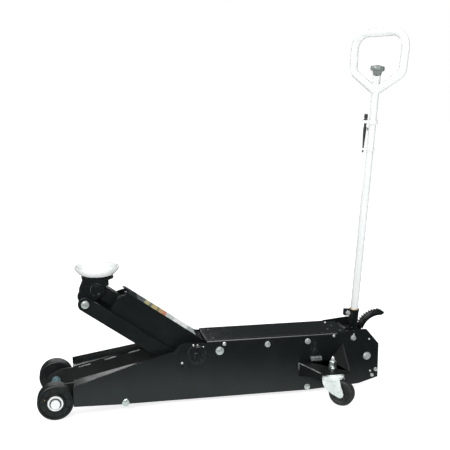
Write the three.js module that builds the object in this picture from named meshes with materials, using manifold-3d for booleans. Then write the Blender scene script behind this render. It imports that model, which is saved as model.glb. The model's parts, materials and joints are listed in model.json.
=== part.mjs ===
// Long-chassis hydraulic floor jack, saddle raised, in millimetres.
// +X runs from the lifting end to the handle end, +Z is up, the chassis is symmetric about Y = 0.
// Inside this file X = 0 is the front axle; the finished group is moved so that the origin
// is the centre of the bounding box's bottom face.
import * as THREE from 'three';
import { mergeVertices } from 'three/addons/utils/BufferGeometryUtils.js';
import Module from 'manifold-3d';

const wasm = await Module();
wasm.setup();

// ---------- driving dimensions ----------
const GAP = 0.3; // clearance between touching pieces

const wheel = { radius: 69.5, inner: 109.4, outer: 167.8, bore: 11.4 };
const axle = { radius: 11, z: wheel.radius };

const plate = { outer: 98, thick: 6, bendX: 455, flare: 0.202, frontX: 68, rearX: 1333 };
const rail = { outer: 91.7, thick: 9.7, endX: 612 };
const cover = { top: 254, thick: 4, bend: 9, flangeInner: 76, x0: 598, x1: 1194 };

const armPivot = { x: 559, z: 201 }; // shaft through both side plates
const armHead = { x: 172, z: 474 }; // pin that carries the saddle yoke
const linkDrop = { x: -48, z: -50 }; // from an arm pivot to the link pivot below it
const arm = { outer: 54, thick: 10, crown: 57, knuckle: 24, headRadius: 26 };
const link = { inner: 57, outer: 69, radius: 28 };
const yoke = { inner: 26, outer: 40 };
const saddle = { x: 175, floor: 543, rim: 561, radius: 88 };

const lever = { inner: 27, outer: 37, angle: 23, drop: 115, reach: 146, slot: 11.9, slotTop: 103 };
const ram = { radius: 23, pin: 10, rear: 948 };
const cylinder = { radius: 44, x0: 668, x1: 1069.7, bore: 23.4 };
const pump = { x0: 1070, x1: 1150, z0: 42, z1: 214, half: 52, plungerZ: 190, plungerR: 9 };

const handlePivot = { x: 1220, z: 231 };
const handle = { x: 1251.6, z: 231, lean: 4.03, tube: 15.8, bore: 12.6, top: 1077, turn: 61 };
const loop = {
  lowHalf: 126, topHalf: 132, vee: 1014, low: 1091, top: 1252, lowCorner: 36, topCorner: 65, radius: 15.9,
  skew: 4.5, // the top bar runs up towards the near side by this much at each end
};
const pedalPivot = { x: 1282, z: 148 };
const horn = { x: 1385, z: 205, outer: 97, inner: 79 };
const caster = { x: 1092, y: 212, radius: 52, trail: 40, heading: 37, half: 18, plateZ: 118 };
const bracket = { top: 140, thick: 8 };

const linkPivot = { x: armPivot.x + linkDrop.x, z: armPivot.z + linkDrop.z };
const linkHead = { x: armHead.x + linkDrop.x, z: armHead.z + linkDrop.z };
const armSpan = Math.hypot(armPivot.x - armHead.x, armHead.z - armPivot.z);
const armAngle = Math.atan2(armHead.z - armPivot.z, armPivot.x - armHead.x);
const RAD = Math.PI / 180;

// ---------- finishes ----------
function finish(hex, roughness, metalness) {
  return { hex, roughness, metalness };
}
const blackPaint = finish(0x16191a, 0.3, 0.2);
const zinc = finish(0xb9bec2, 0.35, 0.9);
const chrome = finish(0xe8eaec, 0.12, 1.0);
const whitePaint = finish(0xf2f3f3, 0.3, 0.1);
const wheelBlack = finish(0x1d2122, 0.5, 0.1);
const blackPlastic = finish(0x101213, 0.5, 0.0);
const castIron = finish(0x3a3d3f, 0.6, 0.4);
const labelPaper = finish(0xe9d9a8, 0.5, 0.0);

// ---------- solid helpers ----------
function toSolid(geometry) {
  const bare = geometry.clone();
  bare.deleteAttribute('normal');
  bare.deleteAttribute('uv');
  const welded = mergeVertices(bare, 1e-4);
  const mesh = new wasm.Mesh({
    numProp: 3,
    vertProperties: new Float32Array(welded.attributes.position.array),
    triVerts: new Uint32Array(welded.index.array),
  });
  return new wasm.Manifold(mesh);
}

function toGeometry(solid) {
  const mesh = solid.getMesh();
  const geometry = new THREE.BufferGeometry();
  geometry.setAttribute('position', new THREE.BufferAttribute(new Float32Array(mesh.vertProperties), 3));
  geometry.setIndex(new THREE.BufferAttribute(new Uint32Array(mesh.triVerts), 1));
  return geometry;
}

function outline(points) {
  return new THREE.Shape(points.map(([a, b]) => new THREE.Vector2(a, b)));
}

// A flat plate drawn in X and Z, filling Y from y0 to y1.
function slabXZ(points, y0, y1) {
  const geometry = new THREE.ExtrudeGeometry(outline(points), { depth: y1 - y0, bevelEnabled: false });
  geometry.rotateX(Math.PI / 2);
  geometry.translate(0, y1, 0);
  return toSolid(geometry);
}

// A profile drawn in Y and Z, filling X from x0 to x1.
function slabYZ(points, x0, x1) {
  const geometry = new THREE.ExtrudeGeometry(outline(points), { depth: x1 - x0, bevelEnabled: false });
  const turn = new THREE.Matrix4().makeBasis(
    new THREE.Vector3(0, 1, 0), new THREE.Vector3(0, 0, 1), new THREE.Vector3(1, 0, 0));
  geometry.applyMatrix4(turn);
  geometry.translate(x0, 0, 0);
  return toSolid(geometry);
}

// A flat plate drawn in X and Y, filling Z from z0 to z1.
function slabXY(points, z0, z1) {
  const geometry = new THREE.ExtrudeGeometry(outline(points), { depth: z1 - z0, bevelEnabled: false });
  geometry.translate(0, 0, z0);
  return toSolid(geometry);
}

function box(x0, x1, y0, y1, z0, z1) {
  const geometry = new THREE.BoxGeometry(x1 - x0, y1 - y0, z1 - z0);
  geometry.translate((x0 + x1) / 2, (y0 + y1) / 2, (z0 + z1) / 2);
  return toSolid(geometry);
}

// A round bar along Y, from y0 to y1, centred on (x, z).
function rodY(x, z, radius, y0, y1, sides = 20) {
  const geometry = new THREE.CylinderGeometry(radius, radius, y1 - y0, sides);
  geometry.translate(x, (y0 + y1) / 2, z);
  return toSolid(geometry);
}

// A round bar along X, from x0 to x1, centred on (y, z).
function rodX(y, z, radius, x0, x1, sides = 28) {
  const geometry = new THREE.CylinderGeometry(radius, radius, x1 - x0, sides);
  geometry.rotateZ(Math.PI / 2);
  geometry.translate((x0 + x1) / 2, y, z);
  return toSolid(geometry);
}

// A round bar along Z, from z0 to z1, centred on (x, y).
function rodZ(x, y, radius, z0, z1, sides = 24, topRadius = radius) {
  const geometry = new THREE.CylinderGeometry(topRadius, radius, z1 - z0, sides);
  geometry.rotateX(Math.PI / 2);
  geometry.translate(x, y, (z0 + z1) / 2);
  return toSolid(geometry);
}

// A turned shape: points are [radius, height] pairs, turned about local Y.
function turned(points, sides) {
  const profile = points.map(([r, h]) => new THREE.Vector2(r, h));
  return new THREE.LatheGeometry(profile, sides);
}

function arcPoints(cx, cz, radius, startDeg, endDeg, steps) {
  const points = [];
  for (let i = 0; i <= steps; i += 1) {
    const angle = (startDeg + ((endDeg - startDeg) * i) / steps) * RAD;
    points.push([cx + radius * Math.cos(angle), cz + radius * Math.sin(angle)]);
  }
  return points;
}

function mirrored(solid) {
  return solid.mirror([0, 1, 0]);
}

// ---------- scene assembly ----------
const jack = new THREE.Group();

function add(name, geometryOrSolid, look) {
  const isGeometry = geometryOrSolid.isBufferGeometry === true;
  const geometry = isGeometry ? toGeometry(toSolid(geometryOrSolid)) : toGeometry(geometryOrSolid);
  const material = new THREE.MeshStandardMaterial({
    color: look.hex, roughness: look.roughness, metalness: look.metalness,
  });
  const mesh = new THREE.Mesh(geometry, material);
  mesh.name = name;
  jack.add(mesh);
  return mesh;
}

// Adds a piece drawn on the near side (negative Y) and its mirror image on the far side.
function addPair(name, solid, look) {
  add(`${name}_near`, solid, look);
  add(`${name}_far`, mirrored(solid), look);
}

// ---------- chassis ----------
function flareY(x) {
  return plate.outer + plate.flare * Math.max(0, plate.bendX - x);
}

const tieBolts = [
  { name: 'tie_bolt_front', x: 652, z: 212, radius: 9, head: 15.5 },
  { name: 'tie_bolt_middle', x: 851, z: 227, radius: 7, head: 11 },
  { name: 'tie_bolt_rear', x: 1022, z: 228, radius: 7, head: 11 },
  { name: 'tie_bolt_low', x: 1022, z: 32, radius: 7, head: 11 },
  { name: 'tie_bolt_nose', x: 268, z: 39, radius: 7, head: 13.8 },
];

const noseBolt = tieBolts[tieBolts.length - 1];

function sidePlateNear() {
  const rear = slabXZ([
    [plate.bendX - 0.4, 17], [1030, 18], [1247, 29], [plate.rearX, 53], [plate.rearX, 199],
    [1278, 264], [1262, 265], [1150, 254], [1150, 245], [600, 245], [524, 253], [506, 251],
    [488, 245], [477, 233], [467, 219], [plate.bendX - 0.4, 216.7],
  ], -plate.outer, -plate.outer + plate.thick);
  const front = slabXZ([
    [plate.frontX, 53], [236, 35], [plate.bendX + 0.4, 17], [plate.bendX + 0.4, 216.9],
    [344, 196], [plate.frontX, 133],
  ], -plate.outer, -plate.outer + plate.thick);
  const shear = [1, plate.flare, 0, 0, 0, 1, 0, 0, 0, 0, 1, 0, 0, -plate.flare * plate.bendX, 0, 1];
  const ear = rodY(noseBolt.x, noseBolt.z, 13, -plate.outer, -plate.outer + plate.thick, 20);
  let body = rear.add(front.add(ear).transform(shear));

  // The top edge is folded over into a narrow flange beside the cover.
  const radius = cover.bend;
  const outerArc = arcPoints(-plate.outer + radius, cover.top - radius, radius, 180, 90, 5);
  const innerArc = arcPoints(-plate.outer + radius, cover.top - radius, radius - cover.thick, 90, 180, 4);
  const fold = slabYZ([
    [-plate.outer, 244], ...outerArc, [-cover.flangeInner - GAP, cover.top],
    [-cover.flangeInner - GAP, cover.top - cover.thick], ...innerArc, [-plate.outer + cover.thick, 244],
  ].reverse(), 600, 1150);
  body = body.add(fold);

  const through = [
    [armPivot, 22.4, 24], [linkPivot, 11.4, 14], [handlePivot, 11.4, 14], [pedalPivot, 10.4, 14],
  ];
  for (const [spot, radiusHole, sides] of through) {
    body = body.subtract(rodY(spot.x, spot.z, radiusHole, -120, -80, sides));
  }
  for (const bolt of tieBolts) {
    body = body.subtract(rodY(bolt.x, bolt.z, bolt.radius + 0.4, -150, -80, 12));
  }
  return body;
}

function railNear() {
  const nose = arcPoints(0, axle.z, 34, 250, 105, 9);
  let body = slabXZ([
    [300, 42], [60, 42], ...nose, [22, 116], [66, 118.2], [455, 204], [500, 238],
    [rail.endX - 12, 238], [rail.endX, 226], [rail.endX, 60], [rail.endX - 18, 42],
  ].reverse(), -rail.outer, -rail.outer + rail.thick);
  body = body.subtract(rodY(0, axle.z, 11.4, -120, -60, 20));
  body = body.subtract(rodY(armPivot.x, armPivot.z, 22.4, -120, -60, 28));
  body = body.subtract(rodY(noseBolt.x, noseBolt.z, noseBolt.radius + 0.4, -120, -60, 16));
  return body.subtract(rodY(linkPivot.x, linkPivot.z, 11.4, -120, -60, 16));
}

// The shelf that closes the top of the flared front, with the plate behind the wheel.
function frontShelfNear() {
  const inset = plate.thick + 1.3;
  const x0 = plate.frontX + 3;
  const x1 = 448;
  const rise = 0.2205;
  const top = slabXY([
    [x0, -flareY(x0) + inset], [x1, -flareY(x1) + inset - 0.9], [x1, -80], [x0, -80],
  ], 0, 4);
  const fall = 0.12; // the shelf also falls away outwards
  const slope = [1, 0, rise, 0, 0, 1, fall, 0, 0, 0, 1, 0, 0, 0, 118.6 - rise * 66 + fall * 92, 1];
  const outer = -flareY(x0) + inset + 0.5;
  const wall = slabYZ([[outer, 54], [-rail.outer - GAP, 54], [-rail.outer - GAP, 121], [outer, 112]],
    x0 + 0.2, x0 + 4);
  return top.transform(slope).add(wall);
}

function axleSolid() {
  const collar = rodY(0, axle.z, 19, -wheel.inner + 0.5, -rail.outer - GAP, 24);
  return rodY(0, axle.z, axle.radius, -178, 178, 20).add(collar).add(mirrored(collar));
}

function axleCapNear() {
  const cap = turned([
    [11.3, 0], [29.5, 0], [29.5, 4], [22, 5], [17.5, 7], [17.5, 13.5], [15.5, 15.5], [11.3, 15.5],
    [11.3, 0],
  ], 24);
  cap.rotateX(Math.PI);
  cap.translate(0, -wheel.outer - 0.4, axle.z);
  return toSolid(cap);
}

function coverSolid() {
  const half = cover.flangeInner - GAP;
  const flat = box(cover.x0 + 9, cover.x1, -half, half, cover.top - cover.thick, cover.top);
  const outerArc = arcPoints(cover.x0 + 9, cover.top - 9, 9, 90, 180, 5);
  const innerArc = arcPoints(cover.x0 + 9, cover.top - 9, 5, 180, 90, 4);
  const lip = slabXZ([...outerArc, ...innerArc, [cover.x0 + 10, cover.top - cover.thick],
    [cover.x0 + 10, cover.top]].reverse(), -half, half);
  return flat.add(lip);
}

function throughBolt(bolt) {
  const reach = flareY(bolt.x - bolt.head * 1.2) + GAP;
  const shank = rodY(bolt.x, bolt.z, bolt.radius, -reach - 4, reach + 4, 12);
  const head = rodY(bolt.x, bolt.z, bolt.head, -reach - 8, -reach, 6);
  const washer = rodY(bolt.x, bolt.z, bolt.head * 1.12, -reach - 2, -reach, 14);
  const end = head.add(washer);
  return shank.add(end).add(mirrored(end));
}

addPair('side_plate', sidePlateNear(), blackPaint);
addPair('rail', railNear(), blackPaint);
addPair('front_shelf', frontShelfNear(), blackPaint);
add('front_axle', axleSolid(), zinc);
addPair('axle_cap', axleCapNear(), whitePaint);
add('top_cover', coverSolid(), blackPaint);
for (const bolt of tieBolts) {
  add(bolt.name, throughBolt(bolt), zinc);
}

// The spacer between the rails, with the nose bolt through it.
function crossTube() {
  const half = rail.outer - rail.thick - GAP;
  const tube = rodY(noseBolt.x, noseBolt.z, 13, -half, half, 20);
  return tube.subtract(rodY(noseBolt.x, noseBolt.z, noseBolt.radius + 0.4, -half - 1, half + 1, 16));
}
add('cross_tube', crossTube(), blackPaint);
add('rear_plate', box(1322, 1328, -plate.outer + plate.thick + GAP, plate.outer - plate.thick - GAP, 60, 160),
  blackPaint);

// ---------- front wheels ----------
function frontWheelNear() {
  const width = wheel.outer - wheel.inner;
  const r = wheel.radius;
  const shape = turned([
    [wheel.bore, 0], [20, 0], [24, 5], [56, 5], [r - 7, 0], [r - 2, 3], [r, 12],
    [r, width - 12], [r - 2, width - 3], [r - 8, width], [r - 12, width - 6],
    [37, width - 6], [34, width], [wheel.bore, width], [wheel.bore, 0],
  ], 28);
  shape.rotateX(Math.PI);
  shape.translate(0, -wheel.inner, axle.z);
  return toSolid(shape);
}
addPair('front_wheel', frontWheelNear(), wheelBlack);

// ---------- lift arm ----------
// Arm drawings use s along the arm from its pivot and n square to it, upwards.
function armPoint(s, n) {
  const c = Math.cos(armAngle);
  const d = Math.sin(armAngle);
  return [armPivot.x - s * c + n * d, armPivot.z + s * d + n * c];
}

function armOutline(points) {
  return points.map(([s, n]) => armPoint(s, n));
}

function armSideNear() {
  const back = arcPoints(0, 0, arm.crown - 7.3, 90, 270, 12);
  const body = slabXZ(armOutline([
    [371, 44], [365, arm.crown - 7.3], ...back, [60, -51], [250, -50], [366, -48], [386, -32],
    [390, 18], [383, 31],
  ]), -arm.outer, -arm.outer + arm.thick);
  return body.subtract(rodY(armPivot.x, armPivot.z, 33.3, -80, -20, 28));
}

function armTopPlate() {
  const start = 380;
  const crown = arcPoints(0, 0, arm.crown, 90, 128, 4);
  const inner = arcPoints(0, 0, arm.crown - 7, 128, 90, 4);
  const strip = slabXZ(armOutline([[start, arm.crown - 4], [start - 8, arm.crown], ...crown, ...inner,
    [start, arm.crown - 7]]), -arm.outer, arm.outer);
  const [x, z] = armPoint(start + 4, arm.crown - 4);
  const cut = new THREE.CylinderGeometry(32, 32, 60, 20);
  cut.rotateX(Math.PI / 2);
  cut.rotateY(armAngle);
  cut.translate(x, 0, z);
  return strip.subtract(toSolid(cut));
}

function armKnuckle() {
  const head = arcPoints(armSpan, 0, arm.headRadius, 90, -90, 10);
  const body = slabXZ(armOutline([
    [210, 28], [240, 47], [330, 47], [352, 26], ...head, [380, -27], [210, -30],
  ]).reverse(), -arm.knuckle, arm.knuckle);
  const wing = slabXZ(armOutline([
    [210, 26], [332, 26], [332, -28], [210, -28],
  ]).reverse(), -arm.outer + arm.thick + GAP, arm.outer - arm.thick - GAP);
  return body.add(wing).subtract(rodY(armHead.x, armHead.z, 13.4, -60, 60, 20));
}

function armHub() {
  const reach = arm.outer - 0.2;
  const tube = rodY(armPivot.x, armPivot.z, 33, -reach, reach, 28);
  return tube.subtract(rodY(armPivot.x, armPivot.z, 22.4, -100, 100, 28));
}

function armLeverNear() {
  const down = new THREE.Vector2(-Math.sin(lever.angle * RAD), -Math.cos(lever.angle * RAD));
  const side = new THREE.Vector2(-down.y, down.x);
  const at = (along, across) => [
    armPivot.x + down.x * along + side.x * across, armPivot.z + down.y * along + side.y * across];
  const half = 25;
  const tip = [];
  for (let i = 0; i <= 8; i += 1) {
    const a = (-90 + (180 * i) / 8) * RAD;
    tip.push(at(lever.reach - half + half * Math.cos(a), half * Math.sin(a)));
  }
  const body = slabXZ([at(0, -40), ...tip, at(0, 40)], -lever.outer, -lever.inner);
  const slot = slabXZ([
    at(lever.slotTop, -lever.slot), at(lever.reach + 40, -lever.slot),
    at(lever.reach + 40, lever.slot), at(lever.slotTop, lever.slot),
  ], -lever.outer - 5, -lever.inner + 5);
  return body.subtract(slot).subtract(rodY(armPivot.x, armPivot.z, 28, -80, -20, 28));
}

addPair('arm_side', armSideNear(), blackPaint);
add('arm_top_plate', armTopPlate(), blackPaint);
add('arm_knuckle', armKnuckle(), blackPaint);
const leverNear = armLeverNear();
add('arm_hub', armHub().add(leverNear).add(mirrored(leverNear)), blackPaint);

function labelSolid() {
  return slabXZ(armOutline([
    [318, arm.crown + GAP], [36, arm.crown + GAP], [36, arm.crown + 1.1], [318, arm.crown + 1.1],
  ]), -46, 46);
}
add('arm_label', labelSolid(), labelPaper);

// Shaft through the chassis that the arm turns on, with a round retaining cap at each end.
function armShaft() {
  const cap = turned([
    [0, 0], [37, 0], [37, 7], [34, 10], [25, 10], [23, 8], [12, 8], [10, 12], [0, 12],
  ], 24);
  cap.rotateX(Math.PI);
  cap.translate(armPivot.x, -plate.outer - GAP, armPivot.z);
  const end = toSolid(cap);
  const reach = plate.outer + 2;
  return rodY(armPivot.x, armPivot.z, 22, -reach, reach, 28).add(end).add(mirrored(end));
}
add('arm_shaft', armShaft(), blackPaint);

// ---------- links ----------
function linkNear() {
  const tilt = armAngle / RAD;
  const head = arcPoints(linkHead.x, linkHead.z, link.radius, 270 - tilt, 90 - tilt, 10);
  const tail = arcPoints(linkPivot.x, linkPivot.z, link.radius, 90 - tilt, -90 - tilt, 10);
  const body = slabXZ([...head, ...tail].reverse(), -link.outer, -link.inner);
  const eyes = rodY(linkHead.x, linkHead.z, 11.4, -90, -40, 16)
    .add(rodY(linkPivot.x, linkPivot.z, 11.4, -90, -40, 16));
  return body.subtract(eyes);
}
addPair('link', linkNear(), blackPaint);

function linkPivotPinNear() {
  const shank = rodY(linkPivot.x, linkPivot.z, 11, -plate.outer - 6, -link.inner + 2, 16);
  const railFace = -rail.outer + rail.thick;
  const collar = rodY(linkPivot.x, linkPivot.z, 20, railFace + GAP, -link.outer - 0.4, 20);
  const head = rodY(linkPivot.x, linkPivot.z, 15, -plate.outer - 9, -plate.outer - GAP, 6);
  return shank.add(head).add(collar);
}
addPair('link_pivot_pin', linkPivotPinNear(), zinc);

// ---------- yoke and saddle ----------
function yokeSolid() {
  const lobeTop = arcPoints(armHead.x, armHead.z, 30, 60, -30, 6);
  const lobeLow = arcPoints(linkHead.x, linkHead.z, 25, -45, -190, 9);
  const cheek = slabXZ([
    [124, 517], [218, 517], [219, 492], ...lobeTop.slice(3), [160, 428], ...lobeLow, [104, 466],
  ].reverse(), -yoke.outer, -yoke.inner);
  const seat = slabXZ([
    [113, 526], [115, 520], [124, 514], [218, 514], [235, 520], [238, 526],
  ].reverse(), -48, 48);
  const web = box(132, 192, -yoke.inner - 1, yoke.inner + 1, 506, 518);
  const holes = rodY(armHead.x, armHead.z, 13.4, -60, 60, 20)
    .add(rodY(linkHead.x, linkHead.z, 11.4, -60, 60, 16));
  const swing = rodY(armHead.x, armHead.z, arm.headRadius + 5, -yoke.inner, yoke.inner, 28);
  const bore = rodZ(saddle.x, 0, 14.4, 500, 540, 20);
  return cheek.add(mirrored(cheek)).add(seat).add(web.subtract(swing)).subtract(holes).subtract(bore);
}
add('yoke', yokeSolid(), blackPaint);

function yokePin() {
  const shank = rodY(armHead.x, armHead.z, 13, -46, 46, 20);
  const head = rodY(armHead.x, armHead.z, 19, -48, -yoke.outer - GAP, 24);
  return shank.add(head).add(mirrored(head));
}
add('yoke_pin', yokePin(), castIron);

function linkHeadPin() {
  const reach = link.outer + 0.4;
  const shank = rodY(linkHead.x, linkHead.z, 11, -reach - 2, reach + 2, 16);
  const head = rodY(linkHead.x, linkHead.z, 16, -reach - 8, -reach, 6);
  const spacer = rodY(linkHead.x, linkHead.z, 18, -link.inner + 0.4, -yoke.outer - GAP, 20);
  const end = head.add(spacer);
  return shank.add(end).add(mirrored(end));
}
add('link_head_pin', linkHeadPin(), zinc);

function saddleSolid() {
  const { radius: r, rim, floor } = saddle;
  const under = 526 + GAP;
  const dish = turned([
    [0, 510], [13, 510], [14, 511], [14, under], [52, under], [66, under + 3], [r - 4, rim - 12],
    [r, rim - 5], [r, rim], [r - 6, rim], [r - 12, rim - 8], [62, floor], [0, floor],
  ], 32);
  dish.rotateX(Math.PI / 2);
  dish.translate(saddle.x, 0, 0);
  return toSolid(dish);
}
add('saddle', saddleSolid(), whitePaint);

// ---------- power unit ----------
const crossheadX = armPivot.x - lever.drop * Math.tan(lever.angle * RAD);
const ramZ = armPivot.z - lever.drop;

function ramSolid() {
  const rod = rodX(0, ramZ, ram.radius, crossheadX + 28, ram.rear, 28);
  const block = box(crossheadX - 22, crossheadX + 34, -25, 25, ramZ - 22, ramZ + 22);
  return rod.add(block).subtract(rodY(crossheadX, ramZ, ram.pin + 0.3, -40, 40, 18));
}
add('ram', ramSolid(), chrome);
add('ram_pin', rodY(crossheadX, ramZ, ram.pin, -40, 40, 18), zinc);

function cylinderSolid() {
  const { x0, x1, radius, bore } = cylinder;
  const body = rodX(0, ramZ, radius, x0 + 18, x1, 32);
  const gland = rodX(0, ramZ, radius + 5, x0, x0 + 20, 32);
  return body.add(gland).subtract(rodX(0, ramZ, bore, x0 - 5, x1 - 15, 28));
}
add('cylinder', cylinderSolid(), castIron);
add('oil_tank', slabYZ([
  [-70, 150], [-60, 140], [60, 140], [70, 150], [70, 196], [60, 206], [-60, 206], [-70, 196],
], 704, 1069), blackPaint);

function pumpBlock() {
  const { x0, x1, z0, z1, half } = pump;
  const body = box(x0, x1, -half, half, z0, z1);
  const foot = box(x0, x1 + 60, -half, half, z0, z0 + 14);
  const bore = rodX(0, pump.plungerZ, pump.plungerR + 0.3, x0 + 12, x1 + 5, 18);
  const valveBore = rodX(-30, 120, 9.3, x1 - 30, x1 + 5, 18);
  return body.add(foot).subtract(bore).subtract(valveBore);
}
add('pump_block', pumpBlock(), castIron);

function plungerSolid() {
  const rod = rodX(0, pump.plungerZ, pump.plungerR, 1134, 1202, 18);
  const head = rodX(0, pump.plungerZ, 18, 1198, 1206.6, 20);
  return rod.add(head);
}
add('pump_plunger', plungerSolid(), zinc);

function valveSolid() {
  const stem = rodX(-30, 120, 9, 1124, 1176, 18);
  const cross = box(1164, 1172, -46, -14, 116, 124);
  return stem.add(cross);
}
add('release_valve', valveSolid(), zinc);

// ---------- handle ----------
// Handle pieces are built upright about the handle's own axis, then leaned back into place.
const leanMatrix = new THREE.Matrix4().makeRotationY(handle.lean * RAD)
  .premultiply(new THREE.Matrix4().makeTranslation(handle.x, 0, handle.z));

function leaned(solid) {
  return solid.transform(leanMatrix.elements);
}

function socketSolid() {
  const barrel = rodZ(0, 0, 20, -18, 96, 28);
  const collar = rodZ(0, 0, 21.5, 88, 96, 28);
  const lug = box(-45, -8, -12, 12, 68, 94);
  const body = leaned(barrel.add(collar).add(lug).subtract(rodZ(0, 0, 16.1, 8, 120, 28))
    .subtract(rodY(-31, 80, 5.4, -20, 20, 14)));
  const clevis = slabXZ([
    ...arcPoints(handlePivot.x, handlePivot.z, 19, 90, 270, 10), [1258, 212], [1258, 250],
  ], -20, 20);
  const toe = slabXZ([
    ...arcPoints(handlePivot.x, handlePivot.z - 50, 12, 180, 360, 8), [1234, 226], [1206, 226],
  ], -9, 9);
  const bore = rodY(handlePivot.x, handlePivot.z, 11.4, -40, 40, 18);
  const well = leaned(rodZ(0, 0, 16.1, 8, 60, 28));
  return body.add(clevis.subtract(well)).add(toe).subtract(bore);
}
add('handle_socket', socketSolid(), blackPaint);

function tubeSolid() {
  const wall = rodZ(0, 0, handle.tube, 9, handle.top, 24);
  return leaned(wall.subtract(rodZ(0, 0, handle.bore, 0, handle.top + 10, 20)));
}
add('handle_tube', tubeSolid(), whitePaint);

// Sweeps a circle along a flat path of [across, up] points; the path's plane holds Z.
function sweptBar(path, radius, sides) {
  const rings = [];
  path.forEach(([u, w], i) => {
    const before = path[Math.max(0, i - 1)];
    const after = path[Math.min(path.length - 1, i + 1)];
    const tangent = new THREE.Vector2(after[0] - before[0], after[1] - before[1]).normalize();
    const normal = new THREE.Vector2(-tangent.y, tangent.x);
    const ring = [];
    for (let k = 0; k < sides; k += 1) {
      const a = (2 * Math.PI * k) / sides;
      const across = Math.cos(a) * radius;
      ring.push([u + normal.x * across, Math.sin(a) * radius, w + normal.y * across]);
    }
    rings.push(ring);
  });
  const positions = rings.flat(2);
  const index = [];
  for (let i = 0; i + 1 < rings.length; i += 1) {
    for (let k = 0; k < sides; k += 1) {
      const a = i * sides + k;
      const b = i * sides + ((k + 1) % sides);
      index.push(a, a + sides, b, b, a + sides, b + sides);
    }
  }
  const last = (rings.length - 1) * sides;
  for (let k = 1; k + 1 < sides; k += 1) {
    index.push(0, k, k + 1);
    index.push(last, last + k + 1, last + k);
  }
  const mesh = new wasm.Mesh({
    numProp: 3,
    vertProperties: new Float32Array(positions),
    triVerts: new Uint32Array(index),
  });
  return new wasm.Manifold(mesh);
}

// Rounds a corner of a path with an arc between its two straight runs.
function filletCorner(before, corner, after, radius, steps) {
  const b = new THREE.Vector2(before[0] - corner[0], before[1] - corner[1]).normalize();
  const a = new THREE.Vector2(after[0] - corner[0], after[1] - corner[1]).normalize();
  const half = Math.acos(b.dot(a)) / 2;
  const reach = radius / Math.tan(half);
  const centre = b.clone().add(a).normalize().multiplyScalar(radius / Math.sin(half));
  const points = [];
  const startAngle = Math.atan2(b.y * reach - centre.y, b.x * reach - centre.x);
  let sweep = Math.atan2(a.y * reach - centre.y, a.x * reach - centre.x) - startAngle;
  if (sweep > Math.PI) sweep -= 2 * Math.PI;
  if (sweep < -Math.PI) sweep += 2 * Math.PI;
  for (let i = 0; i <= steps; i += 1) {
    const t = startAngle + (sweep * i) / steps;
    points.push([corner[0] + centre.x + radius * Math.cos(t), corner[1] + centre.y + radius * Math.sin(t)]);
  }
  return points;
}

function gripLoop() {
  const { lowHalf, topHalf, vee, low, top, lowCorner, topCorner, skew } = loop;
  const start = [0, vee];
  const corners = [[lowHalf, low], [topHalf, top + skew], [-topHalf, top - skew], [-lowHalf, low]];
  const path = [start];
  corners.forEach((spot, i) => {
    const before = i === 0 ? start : corners[i - 1];
    const after = i === corners.length - 1 ? start : corners[i + 1];
    path.push(...filletCorner(before, spot, after, spot[1] > low ? topCorner : lowCorner, 5));
  });
  path.push([-2, vee + (2 * (low - vee)) / lowHalf]);
  const split = Math.floor(path.length / 2);
  const right = sweptBar(path.slice(0, split + 1), loop.radius, 12);
  const left = sweptBar(path.slice(split), loop.radius, 12);
  const cope = rodZ(0, 0, handle.tube + GAP, vee - 80, vee + 80, 28);
  return right.add(left).subtract(cope);
}

function loopPlaced() {
  const turn = new THREE.Matrix4().makeRotationZ(-handle.turn * RAD);
  return leaned(gripLoop().transform(turn.elements));
}
add('grip_loop', loopPlaced(), whitePaint);

function clampBolt() {
  const shank = rodY(-31, 80, 5, -17, 17, 12);
  const head = rodY(-31, 80, 9.5, -20, -12 - GAP, 6);
  return leaned(shank.add(head).add(mirrored(head)));
}
add('clamp_bolt', clampBolt(), zinc);

// ---------- release knob and rod ----------
function knobSolid() {
  const knob = turned([
    [0, 1078], [17, 1078], [18.5, 1080], [18.5, 1098], [28, 1100], [29.5, 1103], [29.5, 1113],
    [26, 1118], [10, 1121], [0, 1121],
  ], 28);
  knob.rotateX(Math.PI / 2);
  return leaned(toSolid(knob).add(rodZ(0, 0, 5, 12, 1080, 12)));
}
add('release_knob', knobSolid(), blackPlastic);

// ---------- handle latch ----------
function latchBracket() {
  const ring = rodZ(0, 0, 21, 882, 898, 20).subtract(rodZ(0, 0, handle.tube + GAP, 870, 910, 20));
  const lug = box(-50, -19.5, -8, 8, 884, 896);
  const guide = rodZ(0, 0, 20, 774, 782, 20).subtract(rodZ(0, 0, handle.tube + GAP, 760, 800, 20));
  const tab = box(-38, -18.5, -6, 6, 774, 782);
  return {
    upper: leaned(ring.add(lug).subtract(rodZ(-30, 0, 5.4, 870, 910, 14))),
    lower: leaned(guide.add(tab).subtract(rodZ(-30, 0, 4.4, 760, 800, 14))),
  };
}
const latchParts = latchBracket();
add('latch_bracket', latchParts.upper, whitePaint);
add('latch_guide', latchParts.lower, whitePaint);

function latchPlunger() {
  const top = rodZ(-30, 0, 7.5, 905, 922, 16);
  const pin = rodZ(-30, 0, 5, 868, 906, 14);
  const grip = rodZ(-30, 0, 4.6, 790, 870, 16, 9);
  const tail = rodZ(-30, 0, 4, 764, 791, 14);
  return leaned(top.add(pin).add(grip).add(tail));
}
add('latch_plunger', latchPlunger(), blackPlastic);

// ---------- shafts at the handle end ----------
function endShaft(spot, radius, headRadius) {
  const reach = plate.outer + GAP;
  const head = rodY(spot.x, spot.z, headRadius, -reach - 9, -reach, 18);
  return rodY(spot.x, spot.z, radius, -reach - 4, reach + 4, 18).add(head).add(mirrored(head));
}
add('handle_shaft', endShaft(handlePivot, 11, 13.5), zinc);
add('pedal_shaft', endShaft(pedalPivot, 10, 16.5), zinc);

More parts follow.
